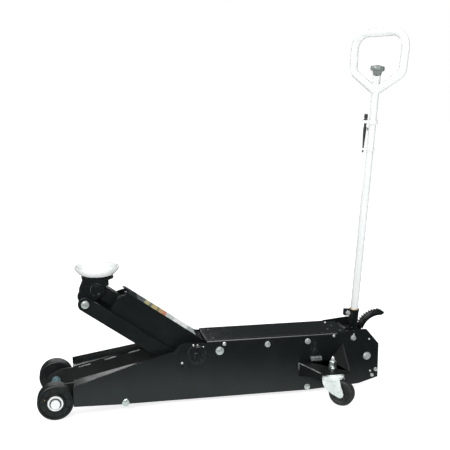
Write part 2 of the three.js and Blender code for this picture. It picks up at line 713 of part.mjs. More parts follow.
// ---------- foot pedal ----------
function pedalSolid() {
  const { x, z, outer, inner } = horn;
  const tread = [
    ...arcPoints(x, z, outer, 164, 86, 9), [x + 20, z + outer - 4], [x + 21, z + outer - 12],
    [x + 10, z + inner + 1], ...arcPoints(x, z, inner, 86, 162, 8),
  ];
  const stem = slabXZ([
    ...arcPoints(pedalPivot.x, pedalPivot.z, 19, 165, 345, 10), [1309, 232], [1296, 238],
  ], 36, 54);
  return slabXZ(tread.reverse(), 23, 67).add(stem)
    .subtract(rodY(pedalPivot.x, pedalPivot.z, 10.4, 0, 90, 18));
}
add('foot_pedal', pedalSolid(), blackPaint);

// ---------- casters ----------
function bracketNear() {
  const root = -plate.outer - GAP;
  const { top, thick } = bracket;
  const shelf = slabXY([
    [985, root], [1036, -236], [1042, -243], [1150, -243], [1156, -236], [1125, root],
  ].reverse(), top - thick, top);
  const rib = slabXY([[985, root], [1036, -236], [1041, -236], [990, root]].reverse(), 78, top);
  const ribTrim = slabYZ([[root + 5, 60], [-260, 60], [-260, 126], [-236, 120], [root + 5, 78]].reverse(),
    960, 1060);
  const brace = slabXY([[1125, root], [1156, -236], [1150, -236], [1119, root]].reverse(), top - 1, 208);
  const braceTrim = slabYZ([[root + 5, 208], [root + 5, 212], [-260, 212], [-260, 139], [-238, 141]].reverse(),
    1100, 1170);
  const leanBack = [1, 0, 0, 0, 0, 1, 0, 0, 0.8, 0, 1, 0, -0.8 * top, 0, 0, 1];
  const hole = rodZ(caster.x, -caster.y, 10.4, 100, 160, 18);
  const stop = box(1034, 1080, -112, -plate.outer - 2 * GAP, top - 1, top + 21);
  const gusset = brace.subtract(braceTrim).transform(leanBack);
  return shelf.add(rib.subtract(ribTrim)).add(gusset).add(stop).subtract(hole);
}
addPair('caster_bracket', bracketNear(), blackPaint);

function casterStudNear() {
  const { x, y } = caster;
  const shank = rodZ(x, -y, 10, 96, bracket.top + 42, 18);
  const base = rodZ(x, -y, 16, bracket.top + GAP, bracket.top + 12, 20);
  const nut = base.add(rodZ(x, -y, 15, bracket.top + 18, bracket.top + 38, 6));
  const cone = rodZ(x, -y, 8, bracket.top + 37, bracket.top + 58, 20, 3);
  return shank.add(nut).add(cone);
}
addPair('caster_stud', casterStudNear(), zinc);

// Caster pieces are built on the swivel axis, trailing towards local +X, then turned to heading.
function placeCaster(solid) {
  const turn = new THREE.Matrix4().makeRotationZ(-caster.heading * RAD)
    .premultiply(new THREE.Matrix4().makeTranslation(caster.x, -caster.y, 0));
  return solid.transform(turn.elements);
}

function casterForkNear() {
  const z = caster.plateZ;
  const cap = rodZ(0, 0, 45, z - 2, z + 8, 24).add(rodZ(0, 0, 38, z + 7, z + 13, 24));
  const legPoints = [
    [-34, z], [-33, 98], [-27, 80], [-13, 62], [6, 49],
    ...arcPoints(caster.trail, caster.radius, 13.5, 235, 375, 6), [45, 82], [41, 100], [36, z],
  ];
  const leg = slabXZ(legPoints, -29, -25);
  const legs = leg.add(mirrored(leg));
  const shank = rodY(caster.trail, caster.radius, 6, -32, 32, 14);
  const head = rodY(caster.trail, caster.radius, 9.5, -36, -28, 6);
  const axleBolt = shank.add(head).add(mirrored(head));
  return placeCaster(cap.add(legs).subtract(rodZ(0, 0, 10.4, z - 30, z + 30, 18)).add(axleBolt));
}
addPair('caster_fork', casterForkNear(), zinc);

function casterWheelNear() {
  const r = caster.radius;
  const h = caster.half;
  const shape = turned([
    [6.4, -h - 4], [14, -h - 4], [16, -h + 4], [34, -h + 4], [r - 5, -h], [r, -h + 7],
    [r, h - 7], [r - 5, h], [34, h - 4], [16, h - 4], [14, h + 4], [6.4, h + 4],
    [6.4, -h - 4],
  ], 24);
  shape.translate(caster.trail, 0, caster.radius);
  return placeCaster(toSolid(shape));
}
addPair('caster_wheel', casterWheelNear(), blackPlastic);

// ---------- put the origin at the bottom centre of the bounding box ----------
const bounds = new THREE.Box3().setFromObject(jack);
jack.position.x = -(bounds.min.x + bounds.max.x) / 2;

const group = new THREE.Group();
group.add(jack);
export default group;
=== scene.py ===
import json
from math import acos, atan, atan2, cos, degrees, fmod, hypot, pi, radians, sin, tan

import bmesh
import bpy
from mathutils import Matrix, Vector

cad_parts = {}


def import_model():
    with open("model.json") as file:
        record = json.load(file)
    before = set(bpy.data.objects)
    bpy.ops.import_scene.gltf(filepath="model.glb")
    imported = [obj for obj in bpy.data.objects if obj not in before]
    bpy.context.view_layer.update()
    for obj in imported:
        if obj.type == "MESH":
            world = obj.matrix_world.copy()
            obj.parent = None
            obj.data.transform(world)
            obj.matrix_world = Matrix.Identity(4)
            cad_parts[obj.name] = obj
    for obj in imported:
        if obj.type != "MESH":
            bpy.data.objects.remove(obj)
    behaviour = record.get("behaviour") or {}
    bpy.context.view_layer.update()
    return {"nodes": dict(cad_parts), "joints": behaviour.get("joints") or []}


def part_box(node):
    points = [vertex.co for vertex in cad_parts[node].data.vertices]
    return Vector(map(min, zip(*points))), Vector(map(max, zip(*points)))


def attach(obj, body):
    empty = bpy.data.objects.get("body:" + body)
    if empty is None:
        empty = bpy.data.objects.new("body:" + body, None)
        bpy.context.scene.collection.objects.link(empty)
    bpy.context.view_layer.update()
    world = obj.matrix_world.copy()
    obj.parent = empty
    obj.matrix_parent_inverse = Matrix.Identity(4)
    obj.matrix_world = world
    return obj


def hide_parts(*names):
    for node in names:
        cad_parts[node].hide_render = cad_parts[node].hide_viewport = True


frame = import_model()

# ---------- The frame: shapes are drawn in millimetres and scaled to metres when made ----------
MM = 0.001
JOINTS = {joint["name"]: joint for joint in frame["joints"]}
UP = Vector((0, 0, 1))


def pivot(name):
    """Where a joint's axis is, in millimetres."""
    return Vector(JOINTS[name]["pos_m"]) / MM


def span(node):
    """Lowest and highest corner of a CAD node, in millimetres."""
    low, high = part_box(node)
    return low / MM, high / MM


def beside(point, y):
    """The place beside a point, at the given Y."""
    return point.x, y, point.z


def axes(x, y, z, origin):
    """A matrix that carries local X, Y and Z onto the given directions at the given origin."""
    turn = Matrix((Vector(x), Vector(y), Vector(z))).transposed().to_4x4()
    return Matrix.Translation(origin) @ turn


FRONT = pivot("wheel_near_spin").x
ARM = pivot("arm_lift")
HEAD = pivot("yoke_level")
LINK_TAIL = pivot("link_near_swing")
LINK_HEAD = HEAD + (LINK_TAIL - ARM)
LINK_HEAD.y = 0
HANDLE = pivot("handle_pump")
PEDAL = pivot("pedal_press")
PLATE_Y = 98  # outer face of the straight part of a side plate
PLATE_NOSE = 68  # where a side plate begins, aft of the front axle
FLARE_END = 455  # and where its flare ends
FLARE = (-PLATE_Y - span("side_plate_near")[0].y) / (FLARE_END - PLATE_NOSE)
COVER_TOP = span("top_cover")[1].z

# Along the arm: local X runs from the arm's pivot to its head, local Z is square to it, upwards.
arm_run = (HEAD - ARM).normalized()
ARM_FRAME = axes(arm_run, (0, -1, 0), arm_run.cross(Vector((0, -1, 0))), ARM)

# The handle's own frame: local Z runs up the tube from the level of the pump pivot.
handle_up = Vector(JOINTS["knob_twist"]["axis"]).normalized()
knob_spot = pivot("knob_twist")
handle_foot = knob_spot - handle_up * ((knob_spot.z - HANDLE.z) / handle_up.z)
HANDLE_FRAME = axes(Vector((0, 1, 0)).cross(handle_up), (0, 1, 0), handle_up, handle_foot)
LOOP_TURN = radians(-61)  # of the grip loop, round the tube


def spot(x, y, z):
    """A place measured back from the front axle, across from the middle, and up from the floor."""
    return Vector((FRONT + x, y, z))


# ---------- Camera: three metres off the near side, chest high ----------
LENS = 61.67
CAMERA_SPOT = ((FRONT + 81.7) * MM, -3.0254, 1.2283)
CAMERA_TILT = 80.45
CAMERA_TURN = -11.43


def make_camera():
    data = bpy.data.cameras.new("camera")
    data.sensor_width = 36
    data.lens = LENS
    camera = bpy.data.objects.new("camera", data)
    camera.location = CAMERA_SPOT
    camera.rotation_euler = (radians(CAMERA_TILT), 0, radians(CAMERA_TURN))
    bpy.context.scene.collection.objects.link(camera)
    bpy.context.scene.camera = camera


make_camera()


# ---------- Materials ----------
def fill(node, values):
    """Gives a shader node's inputs their values, and returns the node."""
    for name, value in values.items():
        node.inputs[name].default_value = value
    return node


class Look:
    """A node material around one Principled shader, with object-space noise for its detail."""

    def __init__(self, name, colour, roughness=0.5, metallic=0.0, slot=None):
        self.material = bpy.data.materials.new(name)
        self.material.use_nodes = True
        self.tree = self.material.node_tree
        self.shader = self.tree.nodes["Principled BSDF"]
        fill(self.shader, {"Base Color": (*colour, 1), "Roughness": roughness, "Metallic": metallic})
        self.coordinates = self.new("TexCoord")
        self.slot = slot
        self.colour = colour

    def new(self, kind):
        """A new shader node of a kind."""
        return self.tree.nodes.new("ShaderNode" + kind)

    def link(self, source, target):
        self.tree.links.new(source, target)

    def noise(self, scale, detail=4, stretch=(1, 1, 1)):
        mapping = fill(self.new("Mapping"), {"Scale": stretch})
        self.link(self.coordinates.outputs["Object"], mapping.inputs["Vector"])
        texture = fill(self.new("TexNoise"), {"Scale": scale, "Detail": detail})
        self.link(mapping.outputs["Vector"], texture.inputs["Vector"])
        return texture.outputs["Fac"]

    def spread(self, value, low, high, start=0.3, end=0.7):
        """Maps a value from the range start to end onto the range low to high."""
        node = self.new("MapRange")
        fill(node, {"From Min": start, "From Max": end, "To Min": low, "To Max": high})
        self.link(value, node.inputs["Value"])
        return node.outputs["Result"]

    def vary_colour(self, value, other):
        """Blends the base colour towards another where the value is high."""
        ramp = self.new("ValToRGB")
        for stop, position, colour in zip(ramp.color_ramp.elements, (0.35, 0.72), (self.colour, other)):
            stop.position = position
            stop.color = (*colour, 1)
        self.link(value, ramp.inputs["Fac"])
        self.link(ramp.outputs["Color"], self.shader.inputs["Base Color"])

    def vary_roughness(self, value, low, high):
        self.link(self.spread(value, low, high), self.shader.inputs["Roughness"])

    def bump(self, value, strength, distance):
        node = fill(self.new("Bump"), {"Strength": strength, "Distance": distance})
        self.link(value, node.inputs["Height"])
        self.link(node.outputs["Normal"], self.shader.inputs["Normal"])

    def coat(self, weight, roughness, ior=1.5):
        fill(self.shader, {"Coat Weight": weight, "Coat Roughness": roughness, "Coat IOR": ior})


def surface(name, slot, colours, clouds, gloss, grain, metallic=0.0, specular=0.5):
    """A finish made of noise: clouds of two colours, wandering roughness and a fine grain.

    clouds is a noise's scale, detail and stretch; gloss is such a noise and a range of
    roughness; grain is a noise, a bump's strength and its depth in metres.
    """
    look = Look(name, colours[0], metallic=metallic, slot=slot)
    fill(look.shader, {"Specular IOR Level": specular})
    look.vary_colour(look.noise(*clouds), colours[1])
    look.vary_roughness(look.noise(*gloss[0]), *gloss[1:])
    look.bump(look.noise(*grain[0]), *grain[1:])
    return look


# Black enamel on the chassis, the arm and the links.
BLACK = surface(
    "black_paint", "black_paint", [(0.0062, 0.0082, 0.0082), (0.0085, 0.011, 0.011)],
    clouds=(9, 3), gloss=((30, 5), 0.16, 0.27), grain=((420, 2), 0.05, 0.0004))
BLACK.coat(0.15, 0.06)

# The same enamel where it was sprayed thin, inside the chassis.
INNER = surface(
    "inner_paint", "black_paint", [(0.008, 0.009, 0.009), (0.014, 0.015, 0.015)],
    clouds=(14, 4), gloss=((50, 5), 0.36, 0.55), grain=((500, 3), 0.12, 0.0004))

# A darker, matt copy of the black enamel for the caster brackets: painted shade, which keeps them dark
# under the broad overhead light.
PAINTED_SHADE_BLACK = surface(
    "caster_painted_shade", "black_paint", [(0.005, 0.006, 0.006), (0.008, 0.009, 0.009)], specular=0.22,
    clouds=(14, 4), gloss=((50, 5), 0.3, 0.42), grain=((420, 2), 0.05, 0.0004))

WHEEL = surface(
    "cast_black", "wheel_black", [(0.008, 0.010, 0.010), (0.014, 0.017, 0.016)], specular=0.35,
    clouds=(25, 4), gloss=((70, 4), 0.3, 0.48), grain=((650, 3), 0.22, 0.0005))


def zinc(name, metallic):
    return surface(
        name, "zinc", [(0.66, 0.72, 0.70), (0.88, 0.92, 0.90)], metallic=metallic,
        clouds=(22, 2, (1, 1, 0.3)), gloss=((60, 2), 0.24, 0.36), grain=((300, 1), 0.03, 0.0002))


ZINC = zinc("zinc", 0.75)
DARK_ZINC = zinc("dark_zinc", 1.0)
PALE_ZINC = zinc("pale_zinc", 0.2)

# Bare steel, faintly blue-green from its plating, turned round Y.
AXLE = surface(
    "blued_steel", "zinc", [(0.10, 0.19, 0.22), (0.20, 0.30, 0.32)], metallic=0.5, clouds=(40, 4),
    gloss=((90, 4, (1, 12, 1)), 0.2, 0.4), grain=((500, 2, (1, 14, 1)), 0.1, 0.0002))

CHROME = surface(
    "chrome", "chrome", [(0.9, 0.91, 0.92), (0.95, 0.95, 0.95)], metallic=1.0,
    clouds=(20, 3), gloss=((120, 3), 0.1, 0.22), grain=((260, 3), 0.06, 0.0003))

# White enamel under a hard gloss, which mirrors the dark room where it turns away.
WHITE = surface(
    "white_paint", "white_paint", [(0.78, 0.805, 0.80), (0.72, 0.75, 0.745)],
    clouds=(6, 3), gloss=((80, 4), 0.18, 0.3), grain=((380, 2), 0.04, 0.0003))
WHITE.coat(1.0, 0.03, 2.2)

PLASTIC = surface(
    "black_plastic", "black_plastic", [(0.018, 0.02, 0.02), (0.03, 0.033, 0.032)],
    clouds=(30, 4), gloss=((200, 4), 0.32, 0.5), grain=((1400, 3), 0.2, 0.0002))

# The knob's moulded grey plastic, polished by the hand.
KNOB = surface(
    "knob_plastic", "black_plastic", [(0.13, 0.15, 0.145), (0.22, 0.25, 0.24)],
    clouds=(45, 3), gloss=((200, 4), 0.25, 0.4), grain=((1400, 3), 0.2, 0.0002))
KNOB.coat(0.6, 0.15)

TREAD = surface(
    "tread", "caster_tread", [(0.014, 0.016, 0.016), (0.028, 0.03, 0.029)],
    clouds=(35, 5), gloss=((90, 4), 0.36, 0.56), grain=((800, 4), 0.25, 0.0003))

IRON = surface(
    "cast_iron", "cast_iron", [(0.06, 0.065, 0.065), (0.10, 0.105, 0.10)], metallic=0.6,
    clouds=(40, 5), gloss=((110, 5), 0.42, 0.66), grain=((420, 5), 0.4, 0.0006))

BRASS = surface(
    "brass", "zinc", [(0.52, 0.36, 0.16), (0.62, 0.47, 0.25)], metallic=1.0,
    clouds=(90, 3), gloss=((150, 3), 0.25, 0.42), grain=((700, 2), 0.08, 0.0002))

# Pale weld metal: partly bare weld, partly painted highlight, its light colour standing in for the glints
# that the beads catch.
PALE_WELD_HIGHLIGHT = surface(
    "weld_metal_painted_highlight", "black_paint", [(0.20, 0.22, 0.22), (0.5, 0.54, 0.53)], metallic=0.6,
    clouds=(60, 3), gloss=((140, 3), 0.22, 0.4), grain=((500, 2), 0.1, 0.0003))

# Where the label starts and ends along the arm, and how far its fields slant across it.
LABEL_START = 36
LABEL_END = 318
LABEL_SLANT = -0.9


def label_film():
    """A printed film: plain colour fields along the arm, with no lettering."""
    look = Look("label_film", (0.8, 0.8, 0.78), slot="label")
    fields = [
        (0.00, (0.46, 0.51, 0.50)), (0.12, (0.93, 0.95, 0.94)), (0.36, (0.64, 0.68, 0.67)),
        (0.49, (0.62, 0.24, 0.15)), (0.54, (0.60, 0.38, 0.20)), (0.61, (0.26, 0.24, 0.12)),
        (0.65, (0.56, 0.46, 0.22)), (0.74, (0.14, 0.17, 0.16)), (0.78, (0.50, 0.46, 0.26)),
        (0.86, (0.10, 0.12, 0.12)),
    ]
    mapping = look.new("Mapping")
    mapping.vector_type = "TEXTURE"
    start = ARM_FRAME @ Vector((LABEL_START, 0, 0)) * MM
    length = (LABEL_END - LABEL_START) * MM
    fill(mapping, {"Location": start, "Rotation": ARM_FRAME.to_euler(), "Scale": (length, 1, 1)})
    look.link(look.coordinates.outputs["Object"], mapping.inputs["Vector"])
    split = look.new("SeparateXYZ")
    look.link(mapping.outputs["Vector"], split.inputs["Vector"])
    slant = look.new("Math")
    slant.operation = "MULTIPLY_ADD"
    slant.inputs[1].default_value = LABEL_SLANT
    look.link(split.outputs["Y"], slant.inputs[0])
    look.link(split.outputs["X"], slant.inputs[2])
    ramp = look.new("ValToRGB")
    ramp.color_ramp.interpolation = "CONSTANT"
    for i, (position, colour) in enumerate(fields):
        if i < 2:
            stop = ramp.color_ramp.elements[i]
            stop.position = position
        else:
            stop = ramp.color_ramp.elements.new(position)
        stop.color = (*colour, 1)
    look.link(slant.outputs["Value"], ramp.inputs["Fac"])
    look.link(ramp.outputs["Color"], look.shader.inputs["Base Color"])
    look.vary_roughness(look.noise(90, 3), 0.2, 0.34)
    look.coat(0.5, 0.1)
    return look


LABEL = label_film()


# ---------- Shapes: each returns a bmesh in millimetres ----------
def arc(cx, cy, radius, start, end, steps=12):
    """Points on an arc, with angles in degrees."""
    points = []
    for i in range(steps + 1):
        angle = radians(start + (end - start) * i / steps)
        points.append((cx + radius * cos(angle), cy + radius * sin(angle)))
    return points


def lathe(profile, steps=72):
    """Turns a closed profile of (radius, height) points about Z."""
    bm = bmesh.new()
    rings = []
    for radius, height in profile:
        if radius < 1e-6:
            rings.append([bm.verts.new((0, 0, height))])
            continue
        ring = []
        for k in range(steps):
            angle = 2 * pi * k / steps
            ring.append(bm.verts.new((radius * cos(angle), radius * sin(angle), height)))
        rings.append(ring)
    for i, ring in enumerate(rings):
        after = rings[(i + 1) % len(rings)]
        if len(ring) == 1 and len(after) == 1:
            continue
        for k in range(steps):
            n = (k + 1) % steps
            corners = [ring[k % len(ring)], ring[n % len(ring)]]
            corners += [after[n % len(after)], after[k % len(after)]]
            bm.faces.new(list(dict.fromkeys(corners)))
    bmesh.ops.recalc_face_normals(bm, faces=bm.faces)
    return bm


def disc(radius, low, high, bore=0.0, edge=1.0, steps=64):
    """A round bar or washer with chamfered edges, standing on Z."""
    outer = [(radius - edge, low), (radius, low + edge), (radius, high - edge), (radius - edge, high)]
    return lathe([(bore, low)] + outer + [(bore, high)], steps)


def prism(outline, low, high):
    """An outline in X and Z, filled along Y from low to high."""
    bm = bmesh.new()
    front = [bm.verts.new((x, low, z)) for x, z in outline]
    back = [bm.verts.new((x, high, z)) for x, z in outline]
    bm.faces.new(front)
    bm.faces.new(list(reversed(back)))
    for i in range(len(outline)):
        n = (i + 1) % len(outline)
        bm.faces.new((front[n], front[i], back[i], back[n]))
    bmesh.ops.recalc_face_normals(bm, faces=bm.faces)
    return bm


def block(x0, x1, y0, y1, z0, z1):
    return prism([(x0, z0), (x1, z0), (x1, z1), (x0, z1)], y0, y1)


def hex_head(corner, height):
    """A bolt head or nut with its chamfered corners, standing on Z."""
    bm = bmesh.new()
    crown = corner * 0.83
    count = 6 * 8  # eight points along each flat
    base, shoulder, top = [], [], []
    for k in range(count):
        angle = 2 * pi * k / count
        off = fmod(angle, pi / 3) - pi / 6
        radius = corner * cos(pi / 6) / cos(off)
        c, s = cos(angle), sin(angle)
        base.append(bm.verts.new((radius * c, radius * s, 0)))
        drop = (radius - crown) * tan(radians(30))
        shoulder.append(bm.verts.new((radius * c, radius * s, height - drop)))
        top.append(bm.verts.new((crown * c, crown * s, height)))
    for low, high in ((base, shoulder), (shoulder, top)):
        for k in range(count):
            n = (k + 1) % count
            bm.faces.new((low[k], low[n], high[n], high[k]))
    bm.faces.new(top)
    bm.faces.new(list(reversed(base)))
    bmesh.ops.recalc_face_normals(bm, faces=bm.faces)
    return bm


def swept(points, radius, sides=20, closed=False, ripple=0.0, every=1):
    """A round bar along a path of points; ripple makes its radius swell like a weld bead's."""
    bm = bmesh.new()
    path = [Vector(p) for p in points]
    count = len(path)
    rings = []
    side = None
    for i, here in enumerate(path):
        if closed:
            along = path[(i + 1) % count] - path[i - 1]
        else:
            along = path[min(i + 1, count - 1)] - path[max(i - 1, 0)]
        along.normalize()
        if side is None:
            side = along.orthogonal().normalized()
        side = (side - along * side.dot(along)).normalized()
        other = along.cross(side)
        grow = radius * (1 + ripple * abs(sin(pi * i / every)))
        if not closed and ripple and i in (0, count - 1):
            grow *= 0.5
        ring = []
        for k in range(sides):
            angle = 2 * pi * k / sides
            ring.append(bm.verts.new(here + side * grow * cos(angle) + other * grow * sin(angle)))
        rings.append(ring)
    for i in range(count if closed else count - 1):
        low, high = rings[i], rings[(i + 1) % count]
        for k in range(sides):
            n = (k + 1) % sides
            bm.faces.new((low[k], low[n], high[n], high[k]))
    if not closed:
        bm.faces.new(list(reversed(rings[0])))
        bm.faces.new(rings[-1])
    bmesh.ops.recalc_face_normals(bm, faces=bm.faces)
    return bm


def bead(start, end, radius=2.2):
    """A straight run of weld between two points."""
    start, end = Vector(start), Vector(end)
    steps = max(6, int((end - start).length / 1.1))
    points = [start.lerp(end, i / steps) for i in range(steps + 1)]
    return swept(points, radius, 10, ripple=0.28, every=3)


def ring_bead(centre, radius, thick=2.2, start=0, end=360):
    """A round run of weld about a point, lying square to the Y axis."""
    steps = int(abs(radians(end - start)) * radius / 1.1)
    points = []
    for i in range(steps + (0 if end - start == 360 else 1)):
        angle = radians(start + (end - start) * i / steps)
        offset = Vector((radius * cos(angle), 0, radius * sin(angle)))
        points.append(Vector(centre) + offset)
    return swept(points, thick, 10, closed=end - start == 360, ripple=0.28, every=3)


def moved(bm, matrix):
    bm.transform(matrix)
    if matrix.determinant() < 0:
        bmesh.ops.reverse_faces(bm, faces=bm.faces)
    return bm


def shifted(bm, x, y, z):
    return moved(bm, Matrix.Translation((x, y, z)))


def facing_y(bm, at, sign=-1):
    """Turns a shape that stands on Z so that it stands out sideways, at the given place."""
    turn = Matrix.Rotation(radians(90 if sign < 0 else -90), 4, "X")
    return moved(bm, Matrix.Translation(at) @ turn)


def joined(*shapes):
    """One bmesh holding several shapes; the others are freed."""
    whole = shapes[0]
    for other in shapes[1:]:
        mesh = bpy.data.meshes.new("joining")
        other.to_mesh(mesh)
        whole.from_mesh(mesh)
        other.free()
        bpy.data.meshes.remove(mesh)
    return whole


def copied(bm, matrix):
    return moved(bm.copy(), matrix)


def spun(bm, count, start=0.0):
    """Copies of a shape set evenly round Z."""
    return [copied(bm, Matrix.Rotation(2 * pi * k / count + start, 4, "Z")) for k in range(count)]


MIRROR = Matrix.Scale(-1, 4, (0, 1, 0))


def both_sides(bm):
    """A shape together with its mirror image across the middle of the jack."""
    return joined(bm, copied(bm, MIRROR))


def from_cad(node):
    """A CAD node's own shape with its flat faces made whole, ready for rounded edges."""
    bm = bmesh.new()
    bm.from_mesh(frame["nodes"][node].data)
    bm.transform(Matrix.Scale(1 / MM, 4))
    bmesh.ops.remove_doubles(bm, verts=bm.verts, dist=0.02)
    bmesh.ops.dissolve_limit(bm, angle_limit=radians(0.6), verts=bm.verts, edges=bm.edges)
    bmesh.ops.recalc_face_normals(bm, faces=bm.faces)
    return bm


def apply_modifiers(obj):
    depsgraph = bpy.context.evaluated_depsgraph_get()
    result = bpy.data.meshes.new_from_object(obj.evaluated_get(depsgraph))
    old = obj.data
    obj.modifiers.clear()
    obj.data = result
    bpy.data.meshes.remove(old)


def as_object(name, bm):
    """Puts a shape into the scene and frees it."""
    mesh = bpy.data.meshes.new(name)
    bm.to_mesh(mesh)
    bm.free()
    obj = bpy.data.objects.new(name, mesh)
    bpy.context.scene.collection.objects.link(obj)
    return obj


def cut(bm, *tools):
    """Cuts tools out of a shape and frees them."""
    target = as_object("shape", bm.copy())
    cutters = []
    for tool in tools:
        cutter = as_object("tool", tool)
        modifier = target.modifiers.new("cut", "BOOLEAN")
        modifier.operation = "DIFFERENCE"
        modifier.solver = "EXACT"
        modifier.object = cutter
        cutters.append(cutter)
    apply_modifiers(target)
    bm.clear()
    bm.from_mesh(target.data)
    for obj in [target] + cutters:
        mesh = obj.data
        bpy.data.objects.remove(obj)
        bpy.data.meshes.remove(mesh)
    return bm


def piece(name, bm, look, body, replaces=(), bevel=0, segments=2, place=None):
    """Makes a finished object from a shape: placed, edges rounded, shaded, named and riding."""
    if place is not None:
        moved(bm, place)
    bm.transform(Matrix.Scale(MM, 4))
    obj = as_object(name, bm)
    obj.data.shade_smooth()
    if bevel:
        rounder = obj.modifiers.new("rounded_edges", "BEVEL")
        rounder.width = bevel * MM
        rounder.segments = segments
        rounder.limit_method = "ANGLE"
        rounder.angle_limit = radians(32)
        rounder.miter_outer = "MITER_ARC"
        apply_modifiers(obj)
    obj.data.set_sharp_from_angle(angle=radians(34))
    if bevel:
        evener = obj.modifiers.new("even_shading", "WEIGHTED_NORMAL")
        evener.weight = 90
        evener.keep_sharp = True
        apply_modifiers(obj)
    obj.data.materials.clear()
    obj.data.materials.append(look.material)
    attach(obj, body)
    if replaces:
        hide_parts(*replaces)
    return obj


def dressed(name, node, look, body, **options):
    """A CAD node's own shape, with its finish and softened edges."""
    return piece(name, from_cad(node), look, body, (node,), **options)


def pair(name, build, look, body, replaces=None, place=None, **options):
    """A near piece and its mirror image on the far side; {} in a body's name stands for the side."""
    for side, matrix in (("near", Matrix.Identity(4)), ("far", MIRROR)):
        bm = build()
        if place is not None:
            moved(bm, place)
        moved(bm, matrix)
        nodes = () if replaces is None else (f"{replaces}_{side}",)
        piece(f"{name}_{side}", bm, look, body.format(side), nodes, **options)


def dressed_pair(name, node, look, body, **options):
    """The near and far CAD node's own shape, with its finish and softened edges."""
    pair(name, lambda: from_cad(f"{node}_near"), look, body, node, **options)


# ---------- Fasteners ----------
def hex_bolt(corner, height, washer=0.0, thick=2.0, stub=0.0):
    """A washer, a chamfered hexagon and, for a nut, the end of the stud through it."""
    shapes = []
    if washer:
        shapes.append(disc(washer, 0, thick, bore=corner * 0.5, edge=0.5))
    shapes.append(shifted(hex_head(corner, height), 0, 0, thick if washer else 0))
    if stub:
        top = height + (thick if washer else 0)
        shapes.append(disc(stub, top - 1, top + 4, edge=1.0, steps=32))
    return joined(*shapes)


def button_screw(radius, height):
    """A low round head with a hexagon socket."""
    dome = [(0, 0), (radius, 0)] + arc(radius * 0.2, 0, radius * 0.8, 18, 90, 8)
    dome = [(r, h * height / (radius * 0.8)) for r, h in dome]
    dome.append((0, height))
    head = lathe(dome, 36)
    return cut(head, shifted(hex_head(radius * 0.45, height), 0, 0, height * 0.45))


def on_plate(x, z, bm, lift=0.0):
    """Stands a fastener on the near side plate, at a place measured from the front axle."""
    return facing_y(bm, spot(x, -PLATE_Y - lift, z))


NIPPLE = [(0, 0), (4, 0), (4, 3), (2.4, 5), (2.4, 8), (3.2, 9.5), (2, 12), (0, 12.5)]


# ---------- Chassis ----------
def side_plates():
    dressed_pair("plate", "side_plate", BLACK, "chassis", bevel=0.9)
    dressed_pair("inner_rail", "rail", INNER, "chassis", bevel=1.0)
    dressed_pair("shelf", "front_shelf", BLACK, "chassis", bevel=0.8)


def shelf_welds():
    """Short runs of weld that hold each shelf to its rail, seen from inside the chassis."""
    low, high = span("front_shelf_near")
    slope = (high.z - 4 - (low.z + 65)) / (high.x - low.x)

    def build():
        runs = []
        for start in (22, 128, 226, 318):
            ends = []
            for x in (start, start + 48):
                ends.append((low.x + x, -79.5, low.z + 61.5 + slope * x))
            runs.append(bead(*ends, radius=2.6))
        return joined(*runs)

    # Drawn in the pale weld metal, whose light colour is partly painted highlight on the beads.
    pair("shelf_weld", build, PALE_WELD_HIGHLIGHT, "chassis")


def link_ears():
    """The stiffening plates welded on round the link pins, outside the chassis."""
    def build():
        x, z = LINK_TAIL.x, LINK_TAIL.z
        outline = arc(x, z, 26, -20, -170, 18) + [(x - 30, z + 24), (x - 24, z + 60), (x - 2, z + 78)]
        plate = prism(outline + [(x + 12, z + 50)], -PLATE_Y - 4, -PLATE_Y + 1)
        seam = ring_bead((x, -PLATE_Y - 0.5, z), 27, 1.8, -165, -30)
        return joined(plate, seam)

    pair("link_ear", build, BLACK, "chassis", bevel=1.4)


def top_cover():
    dressed("bent_cover", "top_cover", BLACK, "chassis", bevel=0.8)

    def screws(*places):
        return joined(*[shifted(button_screw(5, 3), FRONT + x, y, COVER_TOP) for x, y in places])

    painted = screws((632, 58), (632, -58), (1176, -58), (1160, 10), (1128, -34))
    piece("cover_screws", painted, IRON, "chassis")
    piece("cover_screw_bright", screws((1150, 62)), ZINC, "chassis")


def tie_bolts():
    for name in ("tie_bolt_front", "tie_bolt_middle", "tie_bolt_rear", "tie_bolt_low"):
        low, high = span(name)
        middle = (low + high) / 2
        washer = (high.x - low.x) / 2
        head = facing_y(hex_bolt(washer / 1.12, 6.4, washer), beside(middle, -PLATE_Y - 0.1))
        shank = facing_y(disc(washer * 0.55, 0, PLATE_Y + 1, steps=32), beside(middle, 0))
        piece(f"{name}_set", both_sides(joined(head, shank)), ZINC, "chassis", (name,))


def nose_bolt():
    """The bolt low down at the front, its heads square to the flared plates."""
    low, high = span("tie_bolt_nose")
    middle = (low + high) / 2
    out = PLATE_Y + plate_lean(middle.x - FRONT)
    corner = (high.z - low.z) / 2 / 1.12
    turn = Matrix.Rotation(atan(-FLARE), 4, "Z")
    head = moved(facing_y(hex_bolt(corner, 5.5, corner * 1.12, 1.6), (0, 0, 0)), turn)
    head = shifted(head, middle.x, -out - 0.2, middle.z)
    shank = facing_y(disc(7, 0, out, steps=32), beside(middle, 0))
    piece("nose_bolt", both_sides(joined(head, shank)), ZINC, "chassis", ("tie_bolt_nose",))


def small_fasteners():
    """Screws and small bolts that the CAD model leaves out, the same on both side plates."""
    def build():
        return joined(
            on_plate(671, 240, button_screw(8, 5)),
            on_plate(1135, 244, button_screw(6.2, 4.5)),
            on_plate(1290, 221, button_screw(4.2, 3)),
            on_plate(1299, 81, button_screw(4.2, 3)),
            on_plate(1308, 62, hex_bolt(6.2, 4, 7.5, 1)),
            on_plate(1324, 86, hex_bolt(8, 5, 8.6, 1)),
            on_plate(498, 172, button_screw(5, 3.4), lift=4),
        )

    pair("small_fastener", build, ZINC, "chassis")


def plate_lean(x):
    """How far the flared front of a side plate stands out beyond its straight part."""
    return FLARE * max(0, FLARE_END - x)


